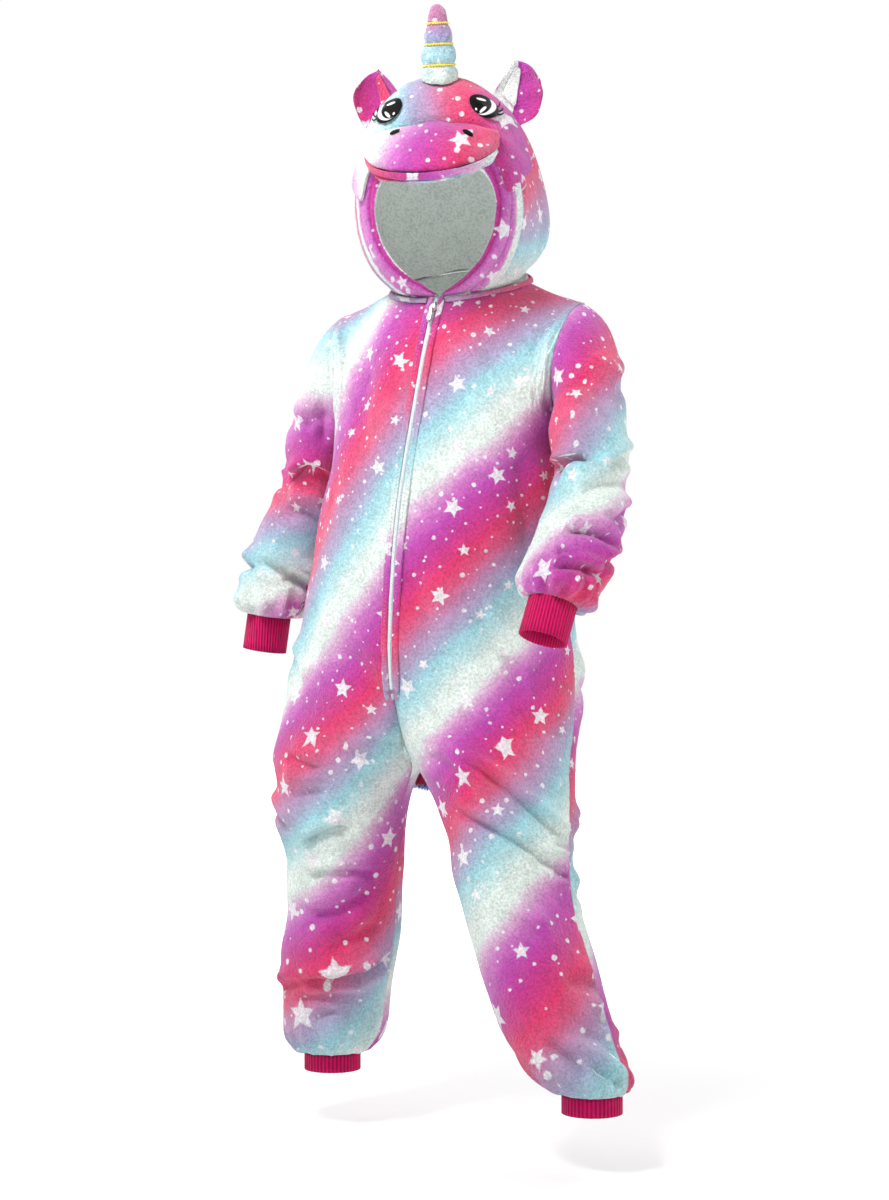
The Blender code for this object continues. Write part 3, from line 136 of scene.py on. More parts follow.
def quads_of(node):
    """A CAD node's mesh, welded, its triangles joined to quads and its skins marked."""
    bm = bmesh.new()
    bm.from_mesh(frame["nodes"][node].data)
    bmesh.ops.remove_doubles(bm, verts=bm.verts, dist=WELD)
    bmesh.ops.join_triangles(
        bm, faces=bm.faces[:], angle_face_threshold=math.radians(50), angle_shape_threshold=math.radians(60)
    )
    skin = bm.faces.layers.int.new("skin")
    crease = bm.edges.layers.float.new("crease_edge")
    for face in bm.faces:
        face[skin] = -1
    groups = []
    for seed in bm.faces:
        if seed[skin] >= 0:
            continue
        seed[skin] = len(groups)
        todo, area = [seed], 0.0
        while todo:
            face = todo.pop()
            area += face.calc_area()
            for edge in face.edges:
                for other in edge.link_faces:
                    if other[skin] < 0 and face.normal.angle(other.normal, 0) < SKIN_TURN:
                        other[skin] = len(groups)
                        todo.append(other)
        groups.append(area)
    order = list(np.argsort(groups)[::-1])
    for face in bm.faces:
        face[skin] = min(order.index(face[skin]), RIM)
    for edge in bm.edges:
        edge[crease] = 1.0 if len({f[skin] for f in edge.link_faces}) > 1 else 0.0
    return bm


def cloth_map(bm, anchor):
    """Flattens the outer skin as it was cut, and gives every vertex its place on that flat cloth, in metres:
    to the right as seen from outside, and down, from the point nearest the anchor."""
    skin = bm.faces.layers.int["skin"]
    bm.verts.index_update()
    outer = [f for f in bm.faces if f[skin] == OUTER]
    used = sorted({v.index for f in outer for v in f.verts})
    place = {old: new for new, old in enumerate(used)}
    bm.verts.ensure_lookup_table()
    points = np.array([bm.verts[i].co for i in used])
    mesh = bpy.data.meshes.new("flat")
    mesh.from_pydata(points.tolist(), [], [[place[v.index] for v in f.verts] for f in outer])
    obj = placed("flat", mesh)
    for other in bpy.context.view_layer.objects:
        other.select_set(False)
    obj.select_set(True)
    bpy.context.view_layer.objects.active = obj
    bpy.ops.object.mode_set(mode="EDIT")
    bpy.ops.mesh.select_all(action="SELECT")
    bpy.ops.uv.unwrap(method="CONFORMAL", margin=0.0)
    bpy.ops.object.mode_set(mode="OBJECT")
    uv = np.zeros((len(points), 2))
    layer = mesh.uv_layers.active.data
    for loop in mesh.loops:
        uv[loop.vertex_index] = layer[loop.index].uv
    flat_area = solid_area = 0.0
    for poly in mesh.polygons:
        corners = uv[list(poly.vertices)]
        x, y = corners[:, 0], corners[:, 1]
        flat_area += 0.5 * abs(np.dot(x, np.roll(y, 1)) - np.dot(y, np.roll(x, 1)))
        solid_area += poly.area
    uv *= math.sqrt(solid_area / flat_area)
    up = unit(np.linalg.lstsq(np.column_stack([uv, np.ones(len(uv))]), points[:, 2], rcond=None)[0][:2])
    right = np.array([up[1], -up[0]])
    start = np.argmin(np.linalg.norm(points - np.array(anchor), axis=1))
    cloth = np.column_stack([(uv - uv[start]) @ right, -(uv - uv[start]) @ up])
    bpy.data.objects.remove(obj)
    bpy.data.meshes.remove(mesh)
    nearest = KDTree(len(points))
    for i, p in enumerate(points):
        nearest.insert(p, i)
    nearest.balance()
    layer = bm.verts.layers.float_vector.new("cloth")
    for v in bm.verts:
        i = place.get(v.index)
        s, t = cloth[nearest.find(v.co)[1] if i is None else i]
        v[layer] = Vector((s, t, 0))


def subdivided(name, bm, levels):
    """A new object: the quads as a smooth surface, with its seam edges kept sharp."""
    mesh = bpy.data.meshes.new(name + "_base")
    bm.to_mesh(mesh)
    bm.free()
    base = placed(name + "_base", mesh)
    modifier = base.modifiers.new("smooth", "SUBSURF")
    modifier.levels = modifier.render_levels = levels
    depsgraph = bpy.context.evaluated_depsgraph_get()
    fine = bpy.data.meshes.new_from_object(base.evaluated_get(depsgraph), depsgraph=depsgraph)
    bpy.data.objects.remove(base)
    bpy.data.meshes.remove(mesh)
    fine.name = "soft_" + name
    fine.shade_smooth()
    return placed("soft_" + name, fine)


class Skin:
    """A fine mesh's points as arrays: their places, the way they face, and how far they are from a seam."""

    def __init__(self, obj, relax=5):
        self.obj, mesh = obj, obj.data
        self.points = read(mesh.vertices, "co", 3)
        self.edges = read(mesh.edges, "vertices", 2, int)
        skins = read(mesh.attributes["skin"].data, "value", kind=int)
        loops = read(mesh.loops, "vertex_index", kind=int)
        of_face = np.repeat(np.arange(len(skins)), [p.loop_total for p in mesh.polygons])
        of_loop = skins[of_face]
        self.rim, self.inner = np.zeros(len(self.points), bool), np.zeros(len(self.points), bool)
        self.rim[loops[of_loop == RIM]] = True
        self.inner[loops[of_loop == INNER]] = True
        self.beyond = np.zeros((len(self.points), 3))
        cut = of_loop == RIM
        np.add.at(self.beyond, loops[cut], read(mesh.polygons, "normal", 3)[of_face[cut]])
        self.relax(relax)
        self.find_normals()
        self.cloth = read(mesh.attributes["cloth"].data, "vector", 3) if "cloth" in mesh.attributes else None
        self.seam = self.from_seam()

    def relax(self, times):
        """Evens out the surface without shrinking it; seam edges stay."""
        a, b = self.edges.T
        n = len(self.points)
        degree = np.bincount(a, minlength=n) + np.bincount(b, minlength=n)
        free = ~self.rim[:, None]
        for k in range(2 * times):
            total = [np.bincount(a, p[b], n) + np.bincount(b, p[a], n) for p in self.points.T]
            step = np.column_stack(total) / degree[:, None] - self.points
            self.points = self.points + free * step * (0.5 if k % 2 == 0 else -0.51)

    def find_normals(self):
        self.write()
        self.normals = read(self.obj.data.vertices, "normal", 3)
        # A rim point faces as the skin beside it does, so that a push keeps the wall's thickness.
        self.out = np.where(self.inner[:, None], -self.normals, self.normals)

    def from_seam(self):
        rim = np.flatnonzero(self.rim)
        tree = KDTree(max(len(rim), 1))
        for i in rim:
            tree.insert(self.points[i], int(i))
        tree.balance()
        if not len(rim):
            return np.full(len(self.points), 1.0)
        return np.array([tree.find(p)[2] for p in self.points])

    def push(self, amount):
        """Moves each point out of the garment by an amount, its wall's other side along with it."""
        self.points = self.points + amount[:, None] * self.out * ~self.rim[:, None]

    def close_seams(self, amount=SEAM_CLOSE):
        """Moves the cut edges out by half the gap that the pieces keep at a seam, and a little more."""
        self.points = self.points + amount * unit(self.beyond)

    def write(self):
        self.obj.data.vertices.foreach_set("co", self.points.ravel())
        self.obj.data.update()


# ---- Where the print lies ----
PERIOD = 0.238  # one repeat of the bands, square to them


def facing(azimuth):
    """The direction to a viewer at an azimuth, and that viewer's right."""
    a = math.radians(azimuth)
    return np.array([math.sin(a), -math.cos(a), 0.0]), np.array([math.cos(a), math.sin(a), 0.0])


def flat_view(points, azimuth):
    """Right and down, in metres, as seen from an azimuth."""
    return np.column_stack([points @ facing(azimuth)[1], -points[:, 2]])


def tube_view(points, line, start, radius):
    """Right and down on a tube, from outside: round from the start direction, along its centre line."""
    line = np.array(line)
    steps = np.diff(line, axis=0)
    lengths = np.concatenate([[0], np.cumsum(np.linalg.norm(steps, axis=1))])
    best = np.full(len(points), np.inf)
    found = np.zeros((len(points), 2))
    for i, step in enumerate(steps):
        low, high = (-1.0 if i == 0 else 0.0), (2.0 if i == len(steps) - 1 else 1.0)
        share = np.clip((points - line[i]) @ step / (step @ step), low, high)
        off = points - (line[i] + share[:, None] * step)
        away = np.linalg.norm(off, axis=1)
        way = unit(step)
        side = unit(np.array(start) - np.dot(start, way) * way)
        turn = np.arctan2(off @ np.cross(way, side), off @ side)
        new = np.column_stack([-turn * radius, lengths[i] + share * np.linalg.norm(step)])
        nearer = away < best
        best, found = np.where(nearer, away, best), np.where(nearer[:, None], new, found)
    return found


def store_print(mesh, laid):
    """Stores three numbers for each point, which the materials read as its place on the printed cloth."""
    layer = mesh.attributes.new("print", "FLOAT_VECTOR", "POINT")
    layer.data.foreach_set("vector", np.asarray(laid, float).ravel())


def recount(obj, change):
    """Puts a new count of the repeat in place of the one that lay_print stored."""
    layer = obj.data.attributes["print"].data
    laid = read(layer, "vector", 3)
    laid[:, 2] = change(laid[:, 2])
    layer.foreach_set("vector", laid.ravel())


def lay_print(obj, cloth, angle, phase, repeat=PERIOD, skew=0.0, bend=0.0, shift=0.0):
    """Stores where each point lies on the printed cloth: its place for the stars, and the repeat's count.
    The bands rise to the right at the angle, and the phase is the share of a repeat at the cloth's own zero.
    Skew and bend are how the worn cloth pulls them off the straight."""
    a = math.radians(angle)
    s, t = cloth[:, 0], cloth[:, 1]
    laid = np.zeros((len(s), 3))
    laid[:, 0] = s * math.cos(a) - t * math.sin(a) + shift
    laid[:, 1] = s * math.sin(a) + t * math.cos(a)
    laid[:, 2] = laid[:, 1] / repeat + phase + skew * s * t + bend * t * t
    store_print(obj.data, laid)


# ---- Materials ----
class Nodes:
    """Builds one procedural material."""

    def __init__(self, name):
        self.material = bpy.data.materials.new(name)
        self.material.use_nodes = True
        self.tree = self.material.node_tree
        self.shader = self.tree.nodes["Principled BSDF"]

    def add(self, kind, feeds=None, **settings):
        """A node with its settings, and its inputs fed by place or by name."""
        node = self.tree.nodes.new(kind)
        for name, value in settings.items():
            setattr(node, name, value)
        self.feed(node, feeds or {})
        return node

    def feed(self, node, feeds):
        for socket, value in feeds.items():
            self.put(node.inputs[socket], value)

    def put(self, socket, value):
        if isinstance(value, bpy.types.NodeSocket):
            self.tree.links.new(value, socket)
        elif isinstance(value, tuple) and len(value) == 3 and socket.type == "RGBA":
            socket.default_value = (*value, 1.0)
        else:
            socket.default_value = value

    def math(self, operation, a, b=0.0):
        return self.add("ShaderNodeMath", {0: a, 1: b}, operation=operation).outputs[0]

    def times(self, a, b):
        return self.math("MULTIPLY", a, b)

    def plus(self, a, b):
        return self.math("ADD", a, b)

    def minus(self, a, b):
        return self.math("SUBTRACT", a, b)

    def place(self):
        """Where a point lies, in the object's metres."""
        return self.add("ShaderNodeTexCoord").outputs["Object"]

    def split(self, vector):
        return self.add("ShaderNodeSeparateXYZ", {0: vector}).outputs

    def laid(self):
        """The three numbers that store_print gave a point."""
        layer = self.add("ShaderNodeAttribute", attribute_type="GEOMETRY", attribute_name="print")
        return self.split(layer.outputs["Vector"])

    def joined(self, x, y):
        return self.add("ShaderNodeCombineXYZ", {0: x, 1: y}).outputs[0]

    def wave(self, direction, scale, distortion):
        feeds = {"Vector": self.place(), "Scale": scale, "Distortion": distortion}
        node = self.add("ShaderNodeTexWave", feeds, wave_type="BANDS", bands_direction=direction)
        return node.outputs["Fac"]

    def vector(self, operation, a, b=(0.0, 0.0, 0.0), scale=None):
        node = self.add("ShaderNodeVectorMath", {0: a, 1: b}, operation=operation)
        if scale is not None:
            self.put(node.inputs["Scale"], scale)
        return node.outputs["Value" if operation in ("LENGTH", "DOT_PRODUCT") else "Vector"]

    def mix(self, share, a, b, blend="MIX"):
        feeds = {"Factor": share, 6: a, 7: b}
        return self.add("ShaderNodeMix", feeds, data_type="RGBA", blend_type=blend).outputs[2]

    def noise(self, where, size, detail=2.0, roughness=0.5):
        feeds = {"Vector": where, "Scale": 1 / size, "Detail": detail, "Roughness": roughness}
        return self.add("ShaderNodeTexNoise", feeds)

    def soft_step(self, value, low, high):
        feeds = dict(enumerate((value, low, high, 0.0, 1.0)))
        return self.add("ShaderNodeMapRange", feeds, interpolation_type="SMOOTHSTEP").outputs[0]

    def ramp(self, value, stops):
        node = self.add("ShaderNodeValToRGB", {0: value})
        ramp = node.color_ramp
        while len(ramp.elements) < len(stops):
            ramp.elements.new(0.5)
        for element, (at, colour) in zip(ramp.elements, stops):
            element.position = at
            element.color = (*colour, 1.0)
        return node.outputs[0]

    def bump(self, height, strength, distance, under=None):
        node = self.add("ShaderNodeBump", {"Height": height, "Strength": strength, "Distance": distance})
        if under is not None:
            self.put(node.inputs["Normal"], under)
        return node.outputs[0]

    def finish(self, colour, roughness, normal=None, sheen=0.0, metallic=0.0):
        self.feed(self.shader, {"Base Color": colour, "Roughness": roughness})
        self.feed(self.shader, {"Metallic": metallic, "Sheen Weight": sheen})
        if sheen:
            white = (1.0, 1.0, 1.0)
            self.feed(self.shader, {"Sheen Roughness": 0.6, "Sheen Tint": white, "Specular IOR Level": 0.15})
        if normal is not None:
            self.feed(self.shader, {"Normal": normal})
        return self.material


GAP_SHADE, HOLLOW_SHADE = 0.52, 0.10  # painted shade: how much darker the gaps between the fibres and the hollows of the nap are painted
TUFT_SIZE, FIBRE_SIZE, NAP_SIZE = 0.0032, 0.0015, 0.020
GRAIN_DEEP, NAP_DEEP, PILE_SHEEN = 0.0014, 0.003, 0.26


def pile(m, colour):
    """The fleece's fine grain over a colour: fibres in small tufts, a nap that lies a little unevenly, and
    painted shade in their hollows.
    """
    where = m.place()
    tufts = m.soft_step(m.noise(where, TUFT_SIZE, 2.0, 0.6).outputs[0], 0.34, 0.66)
    fibres = m.soft_step(m.noise(where, FIBRE_SIZE, 2.0, 0.6).outputs[0], 0.30, 0.70)
    nap = m.soft_step(m.noise(where, NAP_SIZE, 2.0, 0.5).outputs[0], 0.30, 0.70)
    grain = m.plus(m.times(tufts, 0.55), m.times(fibres, 0.45))
    # Painted shade: the colour is darkened where the pile's relief is low.
    shade = m.plus(m.times(grain, GAP_SHADE), m.times(nap, HOLLOW_SHADE))
    value = m.plus(shade, 1.0 - 0.53 * GAP_SHADE - 0.5 * HOLLOW_SHADE)
    tone = m.add("ShaderNodeCombineColor", {0: value, 1: value, 2: value}).outputs[0]
    tinted = m.mix(1.0, colour, tone, "MULTIPLY")
    normal = m.bump(nap, 0.30, NAP_DEEP, m.bump(grain, 0.8, GRAIN_DEEP))
    return m.finish(tinted, 0.92, normal, sheen=PILE_SHEEN)


# Stars and dots: size of a cell, how unevenly the cells lie, and the share of them left empty
STAR_CELL, STAR_UNEVEN, STAR_NONE = 0.066, 0.52, 0.10
DOT_CELL, DOT_UNEVEN, DOT_NONE = 0.0190, 0.95, 0.22
STAR_BIG, STAR_SMALL, SMALL_SHARE = 0.0132, 0.0080, 0.52
DOT_LEAST, DOT_MORE = 0.0010, 0.0023
NOTCH = 0.48  # how far in the notches between a star's tips go
FIFTH = math.radians(72)


def cells(m, where, size, uneven):
    """The nearest cell's middle, as an offset in metres, and three random values for the cell."""
    scaled = m.vector("SCALE", where, scale=1 / size)
    feeds = {"Vector": scaled, "Scale": 1.0, "Randomness": uneven}
    voronoi = m.add("ShaderNodeTexVoronoi", feeds, voronoi_dimensions="2D", feature="F1")
    off = m.vector("SCALE", m.vector("SUBTRACT", scaled, voronoi.outputs["Position"]), scale=size)
    return off, m.add("ShaderNodeSeparateColor", {0: voronoi.outputs["Color"]}).outputs


def star_mask(m, where):
    """1 inside a five-point star, 0 outside, one star in most cells, in two sizes and turned at random."""
    off, (turn, size, there) = cells(m, where, STAR_CELL, STAR_UNEVEN)
    x, y, _ = m.split(off)
    away = m.math("SQRT", m.plus(m.times(x, x), m.times(y, y)))
    angle = m.plus(m.math("ARCTAN2", y, x), m.times(turn, math.tau))
    folded = m.math("ABSOLUTE", m.minus(m.math("FLOORED_MODULO", angle, FIFTH), FIFTH / 2))
    round_ = m.minus(FIFTH / 2, folded)
    big = m.math("GREATER_THAN", size, SMALL_SHARE)
    reach = m.plus(m.times(big, STAR_BIG - STAR_SMALL), STAR_SMALL)
    cos_notch, sin_notch = NOTCH * math.cos(FIFTH / 2), NOTCH * math.sin(FIFTH / 2)
    long = math.hypot(sin_notch, 1 - cos_notch)
    ahead = m.minus(m.times(away, m.math("COSINE", round_)), reach)
    aside = m.times(away, m.math("SINE", round_))
    slope = m.times(aside, (1 - cos_notch) / long)
    edge = m.plus(m.times(ahead, sin_notch / long), slope)
    inside = m.minus(1.0, m.soft_step(edge, -0.0009, 0.0007))
    return m.times(inside, m.math("GREATER_THAN", there, STAR_NONE))


def dot_mask(m, where):
    off, (_, size, there) = cells(m, where, DOT_CELL, DOT_UNEVEN)
    reach = m.plus(m.times(m.math("POWER", size, 2.0), DOT_MORE), DOT_LEAST)
    edge = m.minus(m.vector("LENGTH", off), reach)
    inside = m.minus(1.0, m.soft_step(edge, -0.0007, 0.0006))
    return m.times(inside, m.math("GREATER_THAN", there, DOT_NONE))


# The bands' edges: how far, in shares of a repeat, and how finely the colours bleed, and how the cloth drifts
BLEED, BLEED_SIZE, DRIFT, DRIFT_SIZE, STARS_SHOW = 0.05, 0.0045, 0.10, 0.075, 0.90
PAINTED_LINING_GLOW = 0.11  # how strongly the cloth's pale side glows: a painted glow, standing in for light that comes through the cloth
FUZZ = 0.0022  # how unevenly the fibres' ends print the stars' outlines
LINING_SHOWS, EDGE_SHOWS = 0.93, 0.25  # how pale the cloth's other side and its cut edges are


def printed():
    """The all-over print on plush: soft bands of colour, white stars and dots. The cloth's back is pale."""
    m = Nodes("printed_plush")
    place, flat = m.place(), m.laid()
    fuzz = m.vector("SUBTRACT", m.noise(place, FUZZ, 2.0).outputs["Color"], (0.5, 0.5, 0.5))
    fuzzy = m.vector("ADD", m.joined(flat[0], flat[1]), m.vector("SCALE", fuzz, scale=FUZZ))
    rough = m.noise(place, BLEED_SIZE, 3.0, 0.6).outputs[0]
    drift = m.noise(place, DRIFT_SIZE, 2.0).outputs[0]
    sway = m.plus(m.times(rough, BLEED), m.times(drift, DRIFT))
    share = m.math("FRACT", m.plus(flat[2], m.minus(sway, (BLEED + DRIFT) / 2)))
    bands = m.ramp(share, BANDS)
    white = m.math("MAXIMUM", star_mask(m, fuzzy), dot_mask(m, fuzzy))
    colour = m.mix(m.times(white, STARS_SHOW), bands, STAR_WHITE)
    side = m.add("ShaderNodeAttribute", attribute_type="GEOMETRY", attribute_name="skin").outputs["Fac"]
    lining = m.minus(1.0, m.math("ABSOLUTE", m.minus(side, float(INNER))))
    edge = m.math("GREATER_THAN", side, (INNER + RIM) / 2)
    pale = m.plus(m.times(lining, LINING_SHOWS), m.times(edge, EDGE_SHOWS))
    colour = m.mix(pale, colour, LINING)
    # The pale side glows with an emission: a painted glow, standing in for light that comes through the
    # cloth.
    m.feed(m.shader, {"Emission Color": LINING, "Emission Strength": m.times(lining, PAINTED_LINING_GLOW)})
    return pile(m, colour)


PRINTED = printed()


def make(node, levels, relax=5):
    """One CAD node's form as a fine mesh, with nothing on it yet."""
    return Skin(subdivided(node, quads_of(node), levels), relax)


pieces = {}


def ready(skin, node, material, body="onesie"):
    """Writes a piece back, dresses it and hands it to the frame."""
    skin.write()
    skin.obj.data.materials.clear()
    skin.obj.data.materials.append(material)
    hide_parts(node)
    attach(skin.obj, body)
    pieces[node] = skin.obj
    return skin.obj


# ---- The cut and sewn cloth ----
def ripple(points, size, seed):
    """Smooth unevenness, about -1 to 1, with waves of about this length."""
    rng = np.random.default_rng(seed)
    total = np.zeros(len(points))
    for _ in range(7):
        way = unit(rng.normal(size=3)) * math.tau / size * rng.uniform(0.6, 1.5)
        total += np.sin(points @ way + rng.uniform(0, math.tau))
    return total / 3.2


# How far the plush stands up between its seams, and how deep and long its puckers at them and its waves are
PUFF, PUCKER, PUCKER_SIZE, LIE, LIE_SIZE = 0.0010, 0.0007, 0.013, 0.0012, 0.075


def swell(skin, node, seed):
    """The plush creases, stands up between its seams, pinches a little along them and lies unevenly."""
    skin.push(crease(skin, node) + gathers(skin, node))
    from_seam = skin.seam
    rise = PUFF * (1 - np.exp(-((from_seam / 0.006) ** 2)))
    near_seam = np.exp(-from_seam / 0.014) * smooth(0, 0.004, from_seam)
    pucker = PUCKER * ripple(skin.points, PUCKER_SIZE, seed) * near_seam
    lie = LIE * ripple(skin.points, LIE_SIZE, seed + 1) * smooth(0, 0.03, from_seam)
    skin.push(rise + pucker + lie)


# The creases that the worn cloth shows, as seen from an azimuth, in centimetres right of and below the neck's
# middle. A crease is a soft trough, and the cloth over it (to the left of its way) stands up as a ridge.
# (azimuth, piece): from, to, bow, half width in mm, depth in mm
CREASES = {
    (25, "front_right"): (
        (-19.2, 66.8, -12.8, 64.3, 0.5, 5, 5.5), (-19.0, 70.6, -10.2, 70.2, 0.5, 4, 5.0),
        (-19.8, 83.5, -7.6, 79.9, -1.2, 5, 8.0), (-20.5, 86.2, -12.0, 85.3, 0.6, 5, 3.5),
        (-20.9, 55.9, -16.5, 57.4, -0.3, 7, 3.5), (-20.8, 61.0, -15.8, 60.0, 0.4, 8, 3.0),
        (-19.0, 75.5, -10.5, 71.6, -0.8, 8, 3.0), (-13.5, 56.0, -7.0, 53.2, -0.6, 9, 3.0),
        (-17.5, 79.8, -9.5, 75.4, -0.8, 9, 3.0), (-18.0, 88.4, -14.6, 87.0, 0.2, 5, 2.5),
        (-15.0, 16.0, -17.4, 30.0, -0.8, 14, 3.0), (-11.5, 6.0, -12.4, 20.0, 0.5, 12, 2.5),
        (-16.6, 36.0, -19.6, 47.0, -0.6, 12, 3.0), (-9.6, 47.4, -6.6, 53.4, 0.4, 9, 3.0),
        (-14.4, 42.6, -8.8, 50.4, 0.5, 12, 2.5),
    ),
    (25, "front_left"): (
        (-1.6, 54.8, 13.9, 67.2, 0.6, 5, 5.0), (-1.3, 61.6, 13.9, 70.5, 0.7, 5, 5.5),
        (9.8, 65.4, 14.2, 67.6, 0.3, 4, 4.0), (9.9, 68.4, 14.0, 69.4, -0.3, 4, 3.5),
        (4.0, 73.0, 9.6, 76.3, 0.4, 6, 3.0), (8.6, 86.6, 14.4, 91.4, 0.5, 5, 5.0),
        (10.6, 87.4, 18.6, 92.6, 0.4, 5, 4.5), (13.2, 85.8, 18.2, 90.0, 0.5, 6, 3.0),
        (11.4, 80.4, 16.8, 83.0, 0.5, 8, 3.0), (-4.2, 55.4, 2.0, 60.4, 0.5, 8, 3.5),
        (5.0, 79.6, 11.0, 83.6, 0.4, 9, 2.5), (4.2, 43.4, 6.9, 47.2, 0.3, 7, 4.0),
        (0.9, 39.6, 5.2, 44.0, 0.4, 10, 3.0), (-5.8, 46.8, -2.4, 53.0, -0.5, 8, 3.0),
        (-6.2, 34.0, -4.4, 44.0, 0.5, 14, 2.5), (6.8, 20.0, 9.6, 36.0, -0.8, 14, 3.0),
        (-3.2, 8.0, -0.6, 24.0, 0.8, 18, 2.0), (9.2, 6.0, 9.9, 17.0, 0.3, 9, 3.5),
    ),
    (25, "sleeve_right"): (
        (-21.4, 22.8, -16.0, 22.4, 1.3, 5, 6.0), (-17.9, 12.0, -17.0, 18.8, 0.5, 8, 4.0),
        (-19.4, 16.8, -15.6, 14.6, 0.6, 8, 3.0), (-22.0, 26.6, -17.0, 27.6, 0.6, 9, 3.0),
        (-25.4, 32.6, -18.2, 36.2, 0.6, 6, 5.0), (-22.4, 34.8, -18.2, 36.9, 0.7, 5, 3.5),
    ),
    (25, "sleeve_left"): (
        (10.6, 23.9, 14.6, 21.6, 1.5, 5, 7.5), (11.0, 29.8, 17.4, 31.4, 0.9, 5, 6.5),
        (10.0, 32.3, 12.8, 32.7, 0.3, 4, 4.0), (9.6, 33.8, 16.4, 35.4, 0.9, 5, 5.5),
        (13.0, 25.6, 18.8, 24.0, 0.5, 8, 3.5), (12.4, 12.0, 16.8, 15.0, 0.5, 11, 3.0),
    ),
    (115, "sleeve_left"): (
        (-16.0, 23.0, -11.0, 21.0, 0.8, 6, 5.0), (-18.5, 29.0, -12.5, 27.5, 0.6, 6, 4.0),
        (-20.0, 34.0, -14.0, 33.0, 0.6, 6, 4.0), (-12.5, 14.0, -7.0, 12.0, 0.5, 10, 3.0),
    ),
    (115, "front_left"): (
        (-14.0, 67.5, -7.0, 69.5, 0.6, 6, 4.5), (-18.0, 86.0, -11.0, 84.0, 0.7, 6, 4.5),
    ),
    (115, "back_left"): (
        (-7.5, 66.0, -1.0, 63.5, 0.5, 7, 4.0), (-9.0, 72.5, -2.5, 70.0, 0.6, 7, 4.0),
        (-14.0, 89.0, -6.0, 86.5, 0.6, 6, 4.0), (2.0, 26.0, 4.5, 42.0, 0.6, 14, 3.0),
        (-5.5, 46.0, 1.5, 50.0, 0.8, 9, 3.5),
    ),
    (205, "back_left"): (
        (-9.0, 52.6, 0.5, 54.6, -0.9, 8, 4.5), (-12.5, 63.4, -4.5, 65.6, 0.7, 6, 5.0),
        (-13.0, 68.2, -5.2, 67.6, 0.5, 6, 5.5), (-13.8, 73.6, -6.4, 71.4, 0.6, 7, 4.0),
        (-17.0, 85.6, -9.6, 83.0, 0.7, 6, 5.0), (-18.4, 89.4, -12.0, 87.8, 0.5, 6, 4.0),
        (-6.0, 10.0, -3.0, 26.0, 0.8, 16, 3.0), (-8.6, 30.0, -4.0, 45.0, -0.8, 14, 3.0),
    ),
    (205, "back_right"): (
        (5.0, 55.0, 15.0, 52.4, -0.9, 8, 4.5), (9.2, 65.0, 18.0, 63.0, 0.7, 6, 5.0),
        (9.0, 69.0, 17.6, 70.2, 0.5, 6, 5.0), (10.0, 75.0, 18.6, 73.0, 0.6, 8, 3.5),
        (11.0, 82.0, 20.0, 80.4, 0.8, 6, 6.0), (12.4, 86.6, 20.0, 85.4, 0.5, 6, 4.0),
        (9.0, 9.0, 7.0, 26.0, -0.8, 16, 3.0), (14.0, 30.0, 11.0, 46.0, 0.8, 14, 3.5),
        (3.4, 40.0, 10.0, 46.0, 0.5, 12, 3.0),
    ),
    (205, "sleeve_right"): (
        (16.0, 20.0, 21.6, 22.6, 0.8, 6, 5.0), (18.0, 26.0, 23.6, 26.8, 0.6, 6, 4.0),
        (20.0, 33.4, 26.6, 34.4, 0.7, 6, 5.0),
    ),
    (205, "sleeve_left"): (
        (-17.4, 19.6, -12.0, 21.6, 0.8, 7, 4.0), (-15.0, 29.0, -9.0, 28.0, 0.6, 6, 4.5),
    ),
    (295, "sleeve_right"): (
        (-17.0, 22.6, -10.0, 24.0, 0.8, 6, 5.0), (-17.0, 34.6, -9.6, 33.4, 0.8, 6, 5.0),
        (-14.0, 13.0, -8.0, 15.6, 0.6, 10, 3.0),
    ),
    (295, "back_right"): (
        (-12.0, 66.0, -5.0, 64.0, 0.6, 7, 4.5), (-15.0, 82.4, -7.6, 80.0, 0.8, 6, 5.5),
    ),
    (295, "front_right"): (
        (-9.0, 62.0, -1.0, 65.4, 0.7, 6, 4.5), (-9.6, 86.0, -3.0, 84.0, 0.6, 6, 4.5),
        (-7.0, 44.0, 0.0, 49.0, 0.7, 9, 3.5),
    ),
}


# Metres pressed in for each millimetre of the table, which the plush's pile softens
DEEPEN, DEEPEN_SLEEVE = 0.0018, 0.0023
CREASE_STARTS, CREASE_STOPS, CREASE_SEEN = (-0.02, 0.22), (0.72, 1.03), (0.05, 0.45)
CREASE_EDGE = (0.0005, 0.010)  # a crease is let out beside a seam


def crease(skin, node):
    """Presses this piece's creases into it, each a little uneven along its way."""
    total = np.zeros(len(skin.points))
    waver = ripple(skin.points, 0.035, 5)
    gain = DEEPEN_SLEEVE if node.startswith("sleeve") else DEEPEN
    for (azimuth, on), rows in CREASES.items():
        if on != node:
            continue
        toward, right = facing(azimuth)
        across, down = skin.points @ right * 100, -skin.points[:, 2] * 100
        seen = smooth(*CREASE_SEEN, skin.out @ toward)
        for x, y, to_x, to_y, bow, half, deep in rows:
            way = np.array((to_x - x, to_y - y))
            long = np.linalg.norm(way)
            way = way / long
            share = ((across - x) * way[0] + (down - y) * way[1]) / long
            inside = np.clip(share, 0, 1)
            over = (across - x) * way[1] - (down - y) * way[0] - bow * 4 * inside * (1 - inside)
            beyond = (share - inside) * long
            off = np.sign(over) * np.hypot(over, beyond) * 10 / half
            ends = smooth(*CREASE_STARTS, share) * (1 - smooth(*CREASE_STOPS, share))
            trough = np.exp(-((off * (1 + 0.18 * waver)) ** 2))
            ridge = 0.75 * np.exp(-(((off - 2.0) / 1.5) ** 2)) + 0.30 * np.exp(-(((off + 2.4) / 1.6) ** 2))
            total += deep * gain * ends * seen * (1 + 0.25 * waver) * (ridge - trough)
    return total * smooth(*CREASE_EDGE, skin.seam)


